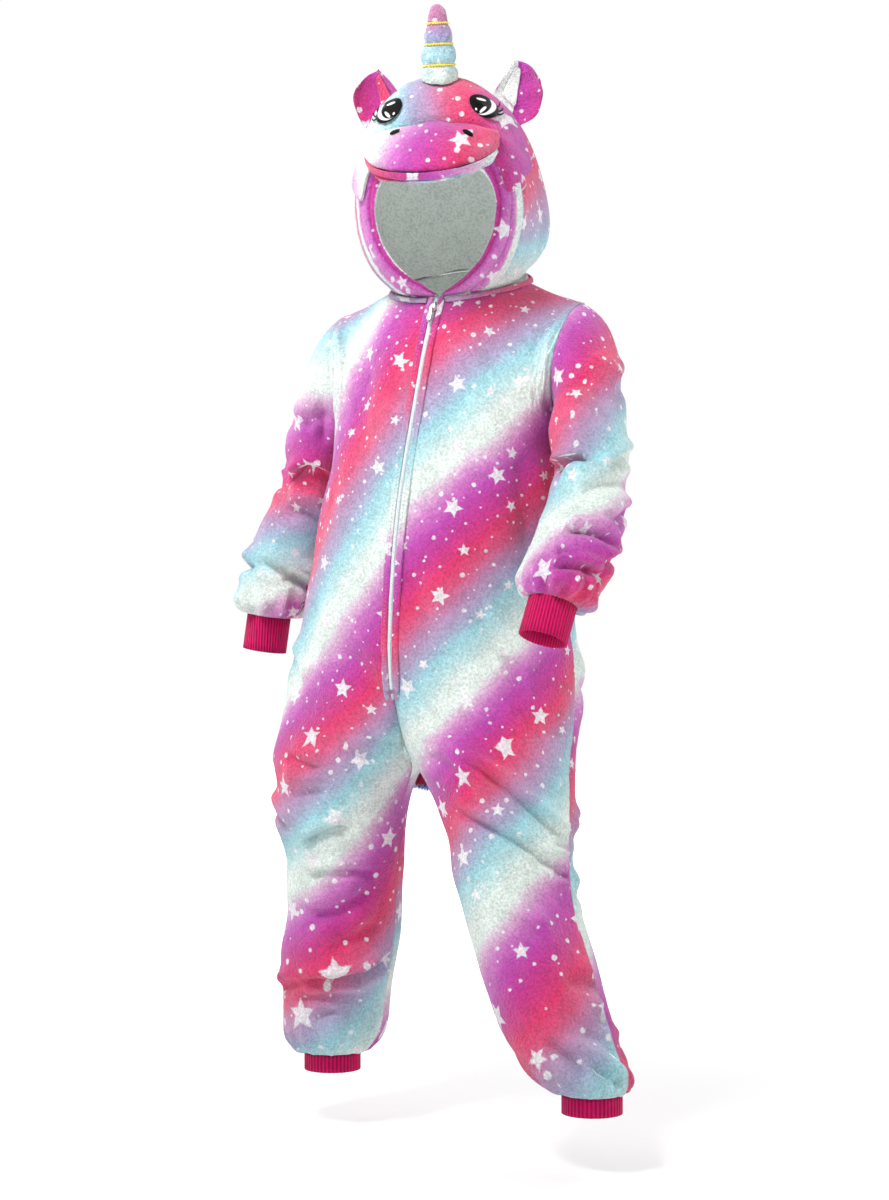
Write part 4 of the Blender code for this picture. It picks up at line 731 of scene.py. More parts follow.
ARM_LINES = {
    "left": (
        (0.150, -0.010, -0.095), (0.1765, -0.038, -0.180), (0.1860, -0.050, -0.230), (0.1870, -0.070, -0.275),
        (0.1810, -0.090, -0.315), (0.1735, -0.112, -0.354), (0.1640, -0.134, -0.410),
    ),
    "right": (
        (-0.150, 0.008, -0.095), (-0.1960, 0.022, -0.180), (-0.2150, 0.032, -0.235), (-0.2370, 0.030, -0.285),
        (-0.2540, 0.025, -0.325), (-0.2690, 0.020, -0.368), (-0.2780, 0.018, -0.430),
    ),
}
SLEEVE_ROUND = 0.055

# cuff: middle of its seam end, way its tube runs
CUFFS = {
    "wrist_cuff_left": ((0.1690, -0.123, -0.377), (-0.10, -0.35, -0.93)),
    "wrist_cuff_right": ((-0.2738, 0.018, -0.393), (-0.06, 0.0, -1.0)),
    "ankle_cuff_left": ((0.2040, -0.092, -0.932), (0, 0, -1)),
    "ankle_cuff_right": ((-0.1870, 0.023, -0.932), (0, 0, -1)),
}
# Where the cloth is eased onto a cuff, piece: cuff, gathers all round it
GATHERS = {
    "sleeve_left": ("wrist_cuff_left", 13), "sleeve_right": ("wrist_cuff_right", 12),
    "front_left": ("ankle_cuff_left", 13), "back_left": ("ankle_cuff_left", 13),
    "front_right": ("ankle_cuff_right", 14), "back_right": ("ankle_cuff_right", 14),
}
GATHER_REACH, GATHER_DEEP = 0.058, 0.0042


def round_cuff(points, cuff):
    """Where points lie about a cuff's tube: the turn round it, in radians, and how far down it, in metres."""
    middle, way = CUFFS[cuff]
    way = unit(way)
    side = unit(np.cross(way, (0.3, 1.0, 0.2)))
    off = points - np.array(middle)
    return np.arctan2(off @ np.cross(way, side), off @ side), off @ way


def gathers(skin, node):
    """The folds that run up from a cuff, deepest just above it and fading into the cloth."""
    if node not in GATHERS:
        return 0.0
    cuff, count = GATHERS[node]
    turn, down = round_cuff(skin.points, cuff)
    above = -down
    bent = count * turn + 1.1 * np.sin(2 * turn + 0.7) + 18 * above * np.sin(3 * turn)
    reach = GATHER_REACH * (0.72 + 0.35 * np.sin(5 * turn + 1.3))
    fade = smooth(-0.004, 0.008, above) * (1 - smooth(0.25, 1.0, above / reach))
    return GATHER_DEEP * fade * (np.cos(bent) - 0.25) * smooth(0.0, 0.004, skin.seam)


HEAD_AT, HEAD_YAW, HEAD_ROLL = np.array([-0.010, -0.012, 0.118]), math.radians(15), math.radians(-1.5)


def head_axes():
    """The hood's own right, front-to-back and up, turned as the head is."""
    cr, sr, cy, sy = math.cos(HEAD_ROLL), math.sin(HEAD_ROLL), math.cos(HEAD_YAW), math.sin(HEAD_YAW)
    return np.array([[cr * cy, cr * sy, -sr], [-sy, cy, 0.0], [sr * cy, sr * sy, cr]])


def in_head(points):
    return (np.asarray(points) - HEAD_AT) @ head_axes().T


HOOD_TUCK = 0.011  # metres


def tucked(points):
    """The fullness of the hood's left side is drawn in below the ear, as it is worn."""
    local = in_head(points)
    along = smooth(-0.080, -0.030, local[:, 1]) * (1 - smooth(0.010, 0.055, local[:, 1]))
    down = smooth(-0.135, -0.095, local[:, 2]) * (1 - smooth(0.020, 0.065, local[:, 2]))
    return points - HOOD_TUCK * (along * down)[:, None] * head_axes()[0]


# piece, anchor of its print (a point on it), angle of the bands, share of a repeat there, repeat, skew, bend
PANELS = (
    ("front_left", (0.0, -0.110, -0.30), 35, 0.67, 0.240, 1.5, 0.4),
    ("front_right", (-0.05, -0.110, -0.30), 57, 0.37, 0.231, -1.0, 2.2),
    ("back_left", (0.03, 0.110, -0.30), 35, 0.05, 0.238, 0.0, 0.0),
    ("back_right", (-0.05, 0.110, -0.30), 35, 0.45, 0.238, 0.0, 0.0),
    ("hood_left", (0.09, -0.02, 0.11), 24, 0.09, 0.250, 0.0, 0.0),
    ("hood_right", (-0.10, -0.02, 0.11), 50, 0.72, 0.238, 0.0, 0.0),
    ("hood_crown", (-0.01, 0.04, 0.22), 20, 0.80, 0.238, 0.0, 0.0),
    ("gusset", (-0.04, -0.02, -0.57), 35, 0.55, 0.238, 0.0, 0.0),
)
# Beside the face bands the hood's cloth shows a lavender strip and then a pale one, cut along the print:
# metres from the band's seam, share of the repeat
STRIP = ((0.0, 0.72), (0.007, 0.67), (0.010, 0.56), (0.017, 0.52), (0.019, 0.44))
STRIP_END = (0.018, 0.021)


def edge_strip(skin, band):
    """Prints the strip along one panel's edge, at the side of the face opening below the forehead."""
    mesh = frame["nodes"][band].data
    tree = BVHTree.FromPolygons([v.co for v in mesh.vertices], [p.vertices for p in mesh.polygons])
    away = np.array([tree.find_nearest(p)[3] for p in skin.points])
    away = away + 0.0006 * ripple(skin.points, 0.030, 7)
    strip = np.interp(away, *zip(*STRIP))
    share = smooth(*STRIP_END, away)
    recount(skin.obj, lambda count: strip * (1 - share) + (count % 1.0) * share)


# Where each piece was cut from the field of stars, in metres along it
PANEL_STARS, SLEEVE_STARS, STUFFED_STARS, BAND_STARS, HORN_STARS = 1.7, 3.1, (20.3, 1.1), (40.0, 43.0), 51.028

for index, (node, anchor, angle, phase, repeat, skew, bend) in enumerate(PANELS):
    base = quads_of(node)
    cloth_map(base, anchor)
    skin = Skin(subdivided(node, base, 3 if node != "gusset" else 2))
    lay_print(skin.obj, skin.cloth, angle, phase, repeat, skew, bend, shift=PANEL_STARS * index)
    if node == "hood_left":
        skin.points = tucked(skin.points)
    if node in ("hood_left", "hood_right"):
        edge_strip(skin, node.replace("hood", "face_band"))
    swell(skin, node, 10 + index)
    skin.close_seams(NECK_CLOSE if node.startswith(("hood", "back")) else SEAM_CLOSE)
    ready(skin, node, PRINTED)
for side, angle, phase, repeat in (("left", 42, 0.03, 0.215), ("right", 36, 0.32, 0.245)):
    node = f"sleeve_{side}"
    skin = make(node, 3)
    around = (1, 0, 0) if side == "left" else (-1, 0, 0)
    cloth = tube_view(skin.points, ARM_LINES[side], around, SLEEVE_ROUND)
    lay_print(skin.obj, cloth, angle, phase, repeat, shift=SLEEVE_STARS)
    swell(skin, node, 31 if side == "left" else 47)
    skin.close_seams()
    ready(skin, node, PRINTED)

# ---- The stuffed pieces ----
# piece, azimuth it is seen from, angle of the bands, share of the repeat at the origin, repeat, bend
STUFFED = (
    ("forehead", 15, -78, 0.28, 0.24, 0.0), ("snout_top", 15, 62, 0.125, 0.238, 0.0),
    ("snout_under", 15, 60, 0.50, 0.238, 0.0), ("snout_lip", 15, -90, 0.77, 0.32, 0.0),
    ("neck_band", 15, -10, 0.10, 0.238, 0.0), ("placket_left", 15, 37, 0.76, 0.238, 0.0),
    ("placket_right", 15, 31, 0.68, 0.238, 0.0), ("mane", 205, 0, 0.74, 0.114, 25.4),
    ("ear_outer_left", 15, 70, 0.84, 0.50, 0.0), ("ear_outer_right", 15, -60, 0.92, 0.40, 0.0),
    ("ear_inner_left", 15, 30, 0.70, 1.20, 0.0), ("ear_inner_right", 15, 30, 0.20, 1.20, 0.0),
)
FINE = ("fore", "snout", "mane", "ear_outer")  # the pieces with the most shape
LUMPS_FINE, LUMPS_FLAT, LUMP_SIZE = 0.0012, 0.0003, 0.035
# Where the left ear's lining ends, in the head's frame: across at the lobe, its lean, and the lobe's height
EAR_FOLD, EAR_LEAN, EAR_FOOT = 0.077, 0.16, 0.091


def line_ear(obj):
    """The left ear's half towards the horn is lined with the pale side of the cloth, out to its edge."""
    middles, ways = read(obj.data.polygons, "center", 3), read(obj.data.polygons, "normal", 3)
    local, way = in_head(middles), in_head(middles + ways) - in_head(middles)
    fold = EAR_FOLD + EAR_LEAN * (local[:, 2] - EAR_FOOT)
    lined = (local[:, 0] < fold) & (way[:, 1] < 0)
    if "inner" in obj.name:
        lined[:] = True
    obj.data.attributes["skin"].data.foreach_set("value", np.where(lined, INNER, OUTER))


def all_outer(skin):
    """A stuffed piece shows the cloth's right side all over."""
    for face in skin.obj.data.attributes["skin"].data:
        face.value = OUTER


for index, (node, azimuth, angle, phase, repeat, bend) in enumerate(STUFFED):
    fine = node.startswith(FINE)
    skin = make(node, 3 if fine else 2, relax=2)
    stars = STUFFED_STARS[0] + STUFFED_STARS[1] * index
    lay_print(skin.obj, flat_view(skin.points, azimuth), angle, phase, repeat, bend=bend, shift=stars)
    skin.inner[:] = False
    skin.out = skin.normals
    lumps = ripple(skin.points, LUMP_SIZE, 60 + index) * smooth(0, 0.010, skin.seam)
    skin.push((LUMPS_FINE if fine else LUMPS_FLAT) * lumps)
    all_outer(skin)
    skin.close_seams()
    obj = ready(skin, node, PRINTED)
    if node in ("ear_outer_left", "ear_inner_left"):
        line_ear(obj)


# The face bands' cloth runs round the opening: pale at its edge, then magenta, and lavender at the seam.
BAND_MIDDLE = np.array([0.008, 0.0, -0.040])
# share of the band's width from the opening's edge, share of the print's repeat
BAND_PRINT = (
    (0.0, 0.50), (0.14, 0.54), (0.22, 0.74), (0.30, 0.86),
    (0.54, 0.88), (0.62, 0.78), (0.80, 0.72), (1.0, 0.69),
)
# A quilting line runs along the band: its depth, its share of the width, half width, and the rise beside it
CHANNEL_DEEP, CHANNEL_AT, CHANNEL_WIDE, BAND_RISE = 0.0022, 0.52, 0.07, 0.0010
TURNS = 90  # sectors round the opening


def band_share(skins):
    """How far each point of the bands is from the opening's edge, 0, to the hood seam, 1."""
    flat = [in_head(s.points) - BAND_MIDDLE for s in skins]
    turn = [np.arctan2(p[:, 0], p[:, 2]) for p in flat]
    reach = [np.hypot(p[:, 0], p[:, 2]) - 0.6 * p[:, 1] for p in flat]
    slots = [((t / math.tau + 0.5) * TURNS).astype(int) % TURNS for t in turn]
    low, high = np.full(TURNS, np.inf), np.full(TURNS, -np.inf)
    for slot, r in zip(slots, reach):
        np.minimum.at(low, slot, r)
        np.maximum.at(high, slot, r)
    missing = ~np.isfinite(low)
    low[missing], high[missing] = 0.05, 0.10
    blur = np.array([1, 2, 3, 2, 1]) / 9
    low = np.convolve(np.concatenate([low[-2:], low, low[:2]]), blur, "valid")
    high = np.convolve(np.concatenate([high[-2:], high, high[:2]]), blur, "valid")
    return [np.clip((r - low[s]) / (high[s] - low[s]), -0.1, 1.1) for s, r in zip(slots, reach)]


bands = [make(f"face_band_{side}", 3, relax=2) for side in ("left", "right")]
for skin, share, side, stars in zip(bands, band_share(bands), ("left", "right"), BAND_STARS):
    lay_print(skin.obj, flat_view(skin.points, 15), 60, 0.0, shift=stars)
    recount(skin.obj, lambda _: np.interp(share, *zip(*BAND_PRINT)))
    all_outer(skin)
    channel = -CHANNEL_DEEP * np.exp(-(((share - CHANNEL_AT) / CHANNEL_WIDE) ** 2))
    channel += BAND_RISE * np.sin(share * math.pi)
    skin.out = skin.normals
    skin.push((channel + 0.0009 * ripple(skin.points, 0.03, 81)) * smooth(0, 0.006, skin.seam))
    skin.close_seams()
    ready(skin, f"face_band_{side}", PRINTED)


# ---- Horn ----
HORN_FOOT, HORN_TIP = np.array([0.006, -0.088, 0.106]), np.array([0.008, -0.106, 0.196])
HORN_COLOURS = (
    (0.10, rgb(196, 212, 204)), (0.22, rgb(178, 204, 206)), (0.30, rgb(150, 196, 206)),
    (0.47, rgb(158, 194, 202)), (0.53, rgb(146, 168, 196)), (0.64, rgb(150, 144, 182)),
    (0.74, rgb(168, 124, 166)), (0.84, rgb(178, 112, 152)), (1.00, rgb(184, 124, 160)),
)


def along_horn(points):
    axis = HORN_TIP - HORN_FOOT
    return (in_head(points) - HORN_FOOT) @ axis / (axis @ axis)


def horn_plush():
    m = Nodes("horn_plush")
    flat = m.laid()
    stars_at = m.joined(flat[0], flat[1])
    drift = m.times(m.minus(m.noise(m.place(), 0.014, 2.0).outputs[0], 0.5), 0.24)
    bands = m.ramp(m.plus(flat[2], drift), HORN_COLOURS)
    marks = m.math("MAXIMUM", star_mask(m, stars_at), dot_mask(m, stars_at))
    white = m.times(marks, 0.6)
    return pile(m, m.mix(white, bands, STAR_WHITE))


skin = make("horn", 3, relax=1)
lay_print(skin.obj, flat_view(skin.points, 25), 20, 0.0, shift=HORN_STARS)
recount(skin.obj, lambda _: along_horn(skin.points))
skin.out = skin.normals
skin.push(0.0007 * ripple(skin.points, 0.016, 90))
ready(skin, "horn", horn_plush())


def gold():
    """A metallic cord, its strands twisted round each other."""
    m = Nodes("gold_cord")
    twist = m.wave("DIAGONAL", 160.0, 1.5)
    glint = m.noise(m.place(), 0.0012, 2.0).outputs[0]
    # Painted highlights and shade: the colour is lighter on the strands' crests and at the glints, and darker
    # between the strands.
    colour = m.ramp(m.plus(m.times(twist, 0.6), m.times(glint, 0.4)),
                    ((0.20, rgb(214, 172, 20)), (0.50, rgb(252, 218, 36)), (0.85, rgb(255, 242, 110))))
    return m.finish(colour, 0.42, m.bump(twist, 0.8, 0.0006), metallic=0.10)


GOLD_CORD = gold()
CORD_PLUMP = 0.0005
for number in (1, 2, 3):
    skin = make(f"horn_cord_{number}", 2, relax=0)
    skin.points = skin.points + CORD_PLUMP * skin.normals
    ready(skin, f"horn_cord_{number}", GOLD_CORD)


# ---- Ribbed cuffs ----
RIB_COUNT, STITCHES = 46, 4200.0  # ribs round a cuff, and radians of stitches to a metre


def rib_knit():
    """Crimson ribs that run along the cuff, each of small stitches."""
    m = Nodes("rib_knit")
    place, flat = m.place(), m.laid()

    def wave(value, count):
        return m.plus(m.times(m.math("SINE", m.times(value, count)), 0.5), 0.5)

    rib, stitch = wave(flat[0], float(RIB_COUNT)), wave(flat[1], STITCHES)
    worn = m.noise(place, 0.006, 3.0).outputs[0]
    fine = m.plus(m.times(stitch, 0.12), m.times(worn, 0.30))
    # Painted shade: the colour is darker in the valleys between the ribs and the stitches; the worn noise is
    # uneven tone of its own.
    shade = m.plus(m.times(rib, 0.62), fine)
    colour = m.ramp(shade, ((0.10, rgb(132, 0, 56)), (0.50, rgb(200, 4, 88)), (0.95, rgb(226, 18, 108))))
    height = m.plus(rib, m.times(stitch, 0.15))
    return m.finish(colour, 0.85, m.bump(height, 0.9, 0.0016), sheen=0.04)


RIB = rib_knit()
for node in CUFFS:
    skin = make(node, 2, relax=0)
    turn, down = round_cuff(skin.points, node)
    store_print(skin.obj.data, np.column_stack([turn, down, np.zeros(len(turn))]))
    ready(skin, node, RIB)


# ---- Embroidered eyes and nostrils ----
def ellipse(m, u, v, at, radii, turn=0.0):
    """1 inside an ellipse in the eye's own places, 0 outside."""
    c, s = math.cos(math.radians(turn)), math.sin(math.radians(turn))
    du, dv = m.minus(u, at[0]), m.minus(v, at[1])
    a = m.math("DIVIDE", m.plus(m.times(du, c), m.times(dv, s)), radii[0])
    b = m.math("DIVIDE", m.minus(m.times(dv, c), m.times(du, s)), radii[1])
    away = m.math("SQRT", m.plus(m.times(a, a), m.times(b, b)))
    return m.minus(1.0, m.soft_step(away, 0.95, 1.05))


def satin(m, colour):
    m.feed(m.shader, {"Specular IOR Level": 0.12})
    return m.finish(colour, 0.55, m.bump(m.wave("Z", 520.0, 2.0), 0.4, 0.0003))


def eye_embroidery():
    """Satin stitch: a black eye with a white crescent, a great pupil and two white lights."""
    m = Nodes("eye_embroidery")
    u, v, _ = m.laid()
    white = ellipse(m, u, v, (0.07, -0.06), (0.76, 0.74), 20)
    pupil = ellipse(m, u, v, (-0.15, 0.08), (0.68, 0.80), 0)
    lights = m.math("MAXIMUM", ellipse(m, u, v, (-0.18, 0.52), (0.34, 0.10), -14),
                    ellipse(m, u, v, (0.02, -0.36), (0.11, 0.33), -38))
    lights = m.math("MAXIMUM", lights, ellipse(m, u, v, (-0.46, -0.34), (0.07, 0.11), 20))
    seen = m.math("MAXIMUM", m.times(white, m.minus(1.0, pupil)), lights)
    return satin(m, m.mix(seen, BLACK, rgb(238, 236, 236)))


EYE, BLACK_SATIN = eye_embroidery(), satin(Nodes("black_satin"), BLACK)
EYE_GROW = 1.10  # the stitches spread a little over the pad's own edge
for side, outward in (("left", 1), ("right", -1)):
    skin = make(f"eye_{side}", 2, relax=0)
    middle = skin.points.mean(axis=0)
    skin.points = middle + EYE_GROW * (skin.points - middle)
    local = in_head(skin.points)
    low, high = local.min(axis=0), local.max(axis=0)
    across = (2 * local[:, 0] - low[0] - high[0]) / (high[0] - low[0]) * outward
    upward = (2 * local[:, 2] - low[2] - high[2]) / (high[2] - low[2])
    store_print(skin.obj.data, np.column_stack([across, upward, np.zeros(len(local))]))
    ready(skin, f"eye_{side}", EYE)
    ready(make(f"nostril_{side}", 2, relax=0), f"nostril_{side}", BLACK_SATIN)


# ---- Thread, tape and teeth ----
def tree_of(*names):
    """A search tree of some pieces' surfaces."""
    points, faces, base = [], [], 0
    for name in names:
        mesh = pieces[name].data
        points += [v.co.copy() for v in mesh.vertices]
        faces += [[base + i for i in p.vertices] for p in mesh.polygons]
        base = len(points)
    return BVHTree.FromPolygons(points, faces)


def laid_on(tree, point, toward, above=0.0):
    """The point brought onto a surface along a line from the viewer's side, and lifted off it."""
    toward = unit(toward)
    hit, normal, _, _ = tree.ray_cast(Vector(np.asarray(point) + toward * 0.25), Vector(-toward))
    if hit is None:
        return None
    return np.array(hit + normal * math.copysign(above, normal.dot(Vector(toward))))


def tube(bm, line, radius, sides=6, tip=0.35):
    """A thin thread along a line, its ends drawn in."""
    line = np.array(line)
    ways = unit(np.gradient(line, axis=0))
    rings = []
    for i, (p, way) in enumerate(zip(line, ways)):
        side = unit(np.cross(way, (0.31, 0.42, 0.85)))
        other = np.cross(way, side)
        r = radius * (tip if i in (0, len(line) - 1) else 1.0)
        turns = math.tau * np.arange(sides) / sides
        rings.append([bm.verts.new(p + r * (math.cos(a) * side + math.sin(a) * other)) for a in turns])
    for a, b in zip(rings, rings[1:]):
        for k in range(sides):
            bm.faces.new((a[k], a[(k + 1) % sides], b[(k + 1) % sides], b[k]))
    bm.faces.new(rings[0][::-1])
    bm.faces.new(rings[-1])


def dress(name, mesh, material, body="onesie"):
    """A new piece that the CAD has no node for."""
    obj = placed(name, mesh)
    mesh.materials.append(material)
    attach(obj, body)
    pieces[name] = obj


def new_piece(name, bm, material, smooth_faces=True):
    bmesh.ops.recalc_face_normals(bm, faces=bm.faces[:])
    mesh = bpy.data.meshes.new(name)
    bm.to_mesh(mesh)
    bm.free()
    if smooth_faces:
        mesh.shade_smooth()
    dress(name, mesh, material)


def thread(name, colour):
    m = Nodes(name)
    strand = m.noise(m.place(), 0.0009, 2.0).outputs[0]
    low = tuple(c * 0.7 for c in colour)
    return m.finish(m.ramp(strand, ((0.3, low), (0.7, colour))), 0.55, m.bump(strand, 0.4, 0.0003), sheen=0.1)


# turn round the eye from its outer side, length, lift, both in degrees: the lashes
LASHES = ((10, 0.0170, 6), (-10, 0.0185, -6), (-28, 0.0165, -18))
LASH_THICK, LASH_LIFT = 0.0010, 0.0026  # they lie on top of the pile
face_tree = tree_of("forehead", "hood_left", "hood_right", "face_band_left", "face_band_right")
lashes = bmesh.new()
for side, outward in (("left", 1), ("right", -1)):
    local = in_head([v.co for v in pieces[f"eye_{side}"].data.vertices])
    middle, half = (local.min(axis=0) + local.max(axis=0)) / 2, np.ptp(local, axis=0) / 2
    for turn, long, lift in LASHES:
        line, turn = [], math.radians(turn)
        for share in np.linspace(0, 1, 6):
            rise = math.radians(lift + 40 * share)
            reach = half[0] * math.cos(turn) + long * share * math.cos(rise)
            high = half[2] * math.sin(turn) + long * share * math.sin(rise)
            spot = middle + np.array([outward * reach, 0, high])
            toward = np.array([outward * 0.45, -0.85, 0.2]) @ head_axes()
            line.append(laid_on(face_tree, spot @ head_axes() + HEAD_AT, toward, LASH_LIFT))
        if all(p is not None for p in line):
            tube(lashes, line, LASH_THICK)
new_piece("lashes", lashes, BLACK_SATIN)


# ---- Tail ----
TAIL_FROM = 0.466  # drop of the strands' roots
STRANDS, STRAND_STEPS, STRAND_THICK = 1200, 7, 0.00080
STRAND_BOW, STRAND_CURL, FRINGE = 0.012, 0.0016, 0.004
TAIL_SHORT = 0.955  # how far the combed locks reach, of the length of the plain ones


def tail_strand():
    """Crimson strands with glints along them, bright blue at their tips."""
    m = Nodes("tail_strand")
    flat = m.laid()
    tone = m.ramp(flat[1], ((0.0, rgb(128, 0, 40)), (0.6, rgb(196, 8, 76)), (1.0, rgb(232, 60, 120))))
    blues = ((0.0, rgb(20, 84, 190)), (0.5, rgb(44, 150, 236)), (1.0, rgb(150, 210, 250)))
    tips = m.ramp(flat[1], blues)
    ends = m.plus(flat[0], m.times(m.minus(flat[1], 0.5), 0.04))
    return m.finish(m.mix(m.soft_step(ends, 0.955, 0.970), tone, tips), 0.5, sheen=0.15)


def tail_strands(skin):
    """Many fine strands that fill and cover the tail's own locks, from its root to just past their ends."""
    rng = np.random.default_rng(12)
    drop = -skin.points[:, 2]
    root, tip = skin.points[np.abs(drop - TAIL_FROM) < 0.006], skin.points[drop > drop.max() - 0.030]
    spans = [(part.min(axis=0), part.max(axis=0)) for part in (root, tip)]
    points, faces, marks = [], [], []
    for _ in range(STRANDS):
        u, v = rng.uniform(0.02, 0.98, 2)
        low, high = [a + (b - a) * (u, v, 0.5) for a, b in spans]
        low[2], high[2] = -TAIL_FROM, -drop.max() - FRINGE * rng.uniform(-1.2, 1.0) + 0.006 * (2 * u - 1) ** 2
        share = np.linspace(0, 1, STRAND_STEPS)[:, None]
        line = low * (1 - share) + high * share
        line[:, 1] += STRAND_BOW * np.sin(math.pi * share[:, 0])
        turn = rng.uniform(0, math.tau) + 7 * share[:, 0]
        line[:, 0] += STRAND_CURL * np.sin(turn) * share[:, 0]
        line[:, 1] += STRAND_CURL * np.cos(1.3 * turn) * share[:, 0]
        tone, base = rng.uniform(), len(points)
        for k, p in enumerate(line):
            thick = STRAND_THICK * (1.0 if k < STRAND_STEPS - 1 else 0.3)
            for a in (0.5, 2.6, 4.7):
                points.append(p + thick * np.array([math.cos(a), math.sin(a), 0]))
                marks.append(((-p[2] - TAIL_FROM) / (drop.max() - TAIL_FROM), tone, 0))
        for k in range(STRAND_STEPS - 1):
            for i in range(3):
                a, b = base + 3 * k + i, base + 3 * k + (i + 1) % 3
                faces.append((a, b, b + 3, a + 3))
        faces += [(base + 2, base + 1, base), (len(points) - 3, len(points) - 2, len(points) - 1)]
    mesh = bpy.data.meshes.new("tail_strands")
    mesh.from_pydata([tuple(p) for p in points], [], faces)
    store_print(mesh, marks)
    mesh.shade_smooth()
    return mesh


skin = make("tail", 2, relax=1)
below = np.maximum(-skin.points[:, 2] - TAIL_FROM, 0)
skin.points[:, 2] += below * (1 - TAIL_SHORT)
marks = np.zeros((len(skin.points), 3))
marks[:, 0] = below / below.max() * 0.95
marks[:, 1] = 0.30
store_print(skin.obj.data, marks)
STRAND = tail_strand()
ready(skin, "tail", STRAND)
dress("tail_strands", tail_strands(skin), STRAND)


# ---- Zip ----
def worn_metal():
    """Nickel, brushed along its length, with finer scratches and a duller bloom in places."""
    m = Nodes("zip_metal")
    place = m.place()
    stretched = m.vector("MULTIPLY", place, (1.0, 1.0, 0.06))
    brushed = m.noise(stretched, 0.00022, 3.0, 0.7).outputs[0]
    bloom = m.noise(place, 0.004, 3.0).outputs[0]
    colour = m.mix(m.soft_step(bloom, 0.35, 0.70), (0.62, 0.61, 0.60), (0.44, 0.43, 0.42))
    rough = m.plus(m.times(brushed, 0.18), m.plus(m.times(bloom, 0.22), 0.12))
    return m.finish(colour, rough, m.bump(brushed, 0.25, 0.0002), metallic=1.0)


def zip_tape():
    """Pale woven tape: a fine twill across its length."""
    m = Nodes("zip_tape")
    twill = m.wave("DIAGONAL", 330.0, 0.6)
    worn = m.noise(m.place(), 0.006, 3.0).outputs[0]
    # Painted shade: the colour is darker along the twill's low lines; the worn noise is uneven tone of its
    # own.
    weave = m.plus(m.times(twill, 0.6), m.times(worn, 0.4))
    yarns_and_shade = ((0.15, rgb(160, 178, 186)), (0.55, rgb(204, 218, 222)), (0.90, rgb(226, 234, 236)))
    return m.finish(m.ramp(weave, yarns_and_shade), 0.75, m.bump(twill, 0.6, 0.0003))


def zip_tooth():
    m = Nodes("zip_tooth")
    cloudy = m.noise(m.place(), 0.0016, 2.0).outputs[0]
    colour = m.ramp(cloudy, ((0.3, rgb(206, 216, 220)), (0.7, rgb(240, 244, 246))))
    return m.finish(colour, 0.32, m.bump(cloudy, 0.2, 0.0002))


LINE_STEP = 0.006


def middle_line(name):
    """Down a long thin piece: its middle, the way across it and the way out of its face, at even drops."""
    points = np.array([v.co for v in pieces[name].data.vertices])
    drop = -points[:, 2]
    rows = []
    for low in np.arange(drop.min() + LINE_STEP, drop.max() - LINE_STEP, LINE_STEP):
        near = points[np.abs(drop - low) < LINE_STEP]
        if len(near) < 6:
            continue
        first, last = near[near[:, 0].argsort()[0]], near[near[:, 0].argsort()[-1]]
        across = unit((last - first) * (1, 1, 0))
        rows.append((near[:, :3].mean(axis=0), across))
    middles, across = (np.array(part) for part in zip(*rows))
    along = unit(np.gradient(middles, axis=0))
    return middles, across, unit(np.cross(along, across))


def spaced(line, pitch):
    """Places along a polyline at an even pitch, as shares of its rows."""
    lengths = np.concatenate([[0], np.cumsum(np.linalg.norm(np.diff(line, axis=0), axis=1))])
    at = np.arange(pitch, lengths[-1] - pitch / 2, pitch)
    return np.interp(at, lengths, np.arange(len(line)))


def row_at(rows, share):
    low = min(int(share), len(rows) - 2)
    return rows[low] + (rows[low + 1] - rows[low]) * (share - low)


def little_box(bm, middle, axes, half):
    corners = [bm.verts.new(middle + sum(a * h * s for a, h, s in zip(axes, half, signs)))
               for signs in ((-1, -1, -1), (1, -1, -1), (1, 1, -1), (-1, 1, -1),
                             (-1, -1, 1), (1, -1, 1), (1, 1, 1), (-1, 1, 1))]
    for face in ((3, 2, 1, 0), (4, 5, 6, 7), (0, 1, 5, 4), (1, 2, 6, 5), (2, 3, 7, 6), (3, 0, 4, 7)):
        bm.faces.new([corners[i] for i in face])


TOOTH_PITCH, TOOTH_HALF, TOOTH_ASIDE, TOOTH_OFF = 0.0029, (0.00095, 0.00085, 0.0005), 0.0008, 0.0006
STITCH_PITCH, STITCH_LONG, STITCH_THICK, STITCH_SINK = 0.0046, 0.0031, 0.00030, 0.0006
TAPE = zip_tape()
METAL = worn_metal()
ready(make("zip_chain", 2, relax=0), "zip_chain", TAPE)
ready(make("zip_slider", 2, relax=0), "zip_slider", METAL)
ready(make("zip_pull", 2, relax=0), "zip_pull", METAL, body="pull_tab")
chain_tree = tree_of("zip_chain")
middles, across, out = middle_line("zip_chain")
teeth = bmesh.new()
for number, share in enumerate(spaced(middles, TOOTH_PITCH / 2)):
    centre, side, face = (row_at(part, share) for part in (middles, across, out))
    face = face if face[1] < 0 else -face
    side = unit(side)
    hand = 1 if number % 2 else -1
    spot = laid_on(chain_tree, centre + hand * TOOTH_ASIDE * side, face, TOOTH_OFF)
    if spot is not None:
        little_box(teeth, spot, (side, unit(np.cross(face, side)), face), TOOTH_HALF)
new_piece("zip_teeth", teeth, zip_tooth(), smooth_faces=False)


# ---- Seam stitches ----
STITCH_LIFT, LIP_ENDS = 0.00025, (-0.070, 0.076)
TACK_ROWS, TACK_HALF, TACK_THICK = 5, 0.006, 0.0005


def stitched(bm, line, out, tree):
    """A row of single stitches along a line, pulled a little into the pile at both ends."""
    for share in spaced(line, STITCH_PITCH):
        here = row_at(line, share)
        ahead = row_at(line, min(share + 0.5, len(line) - 1.0))
        way, face = unit(ahead - here), unit(row_at(out, share))
        if np.linalg.norm(ahead - here) < 1e-6:
            continue
        spot = laid_on(tree, here, face, STITCH_LIFT)
        if spot is None or np.linalg.norm(spot - here) > 0.02:
            continue
        shares = (0, 0.33, 0.67, 1)
        ends = [spot + way * STITCH_LONG * (t - 0.5) - face * STITCH_SINK * (2 * t - 1) ** 2 for t in shares]
        tube(bm, ends, STITCH_THICK, sides=4, tip=0.6)


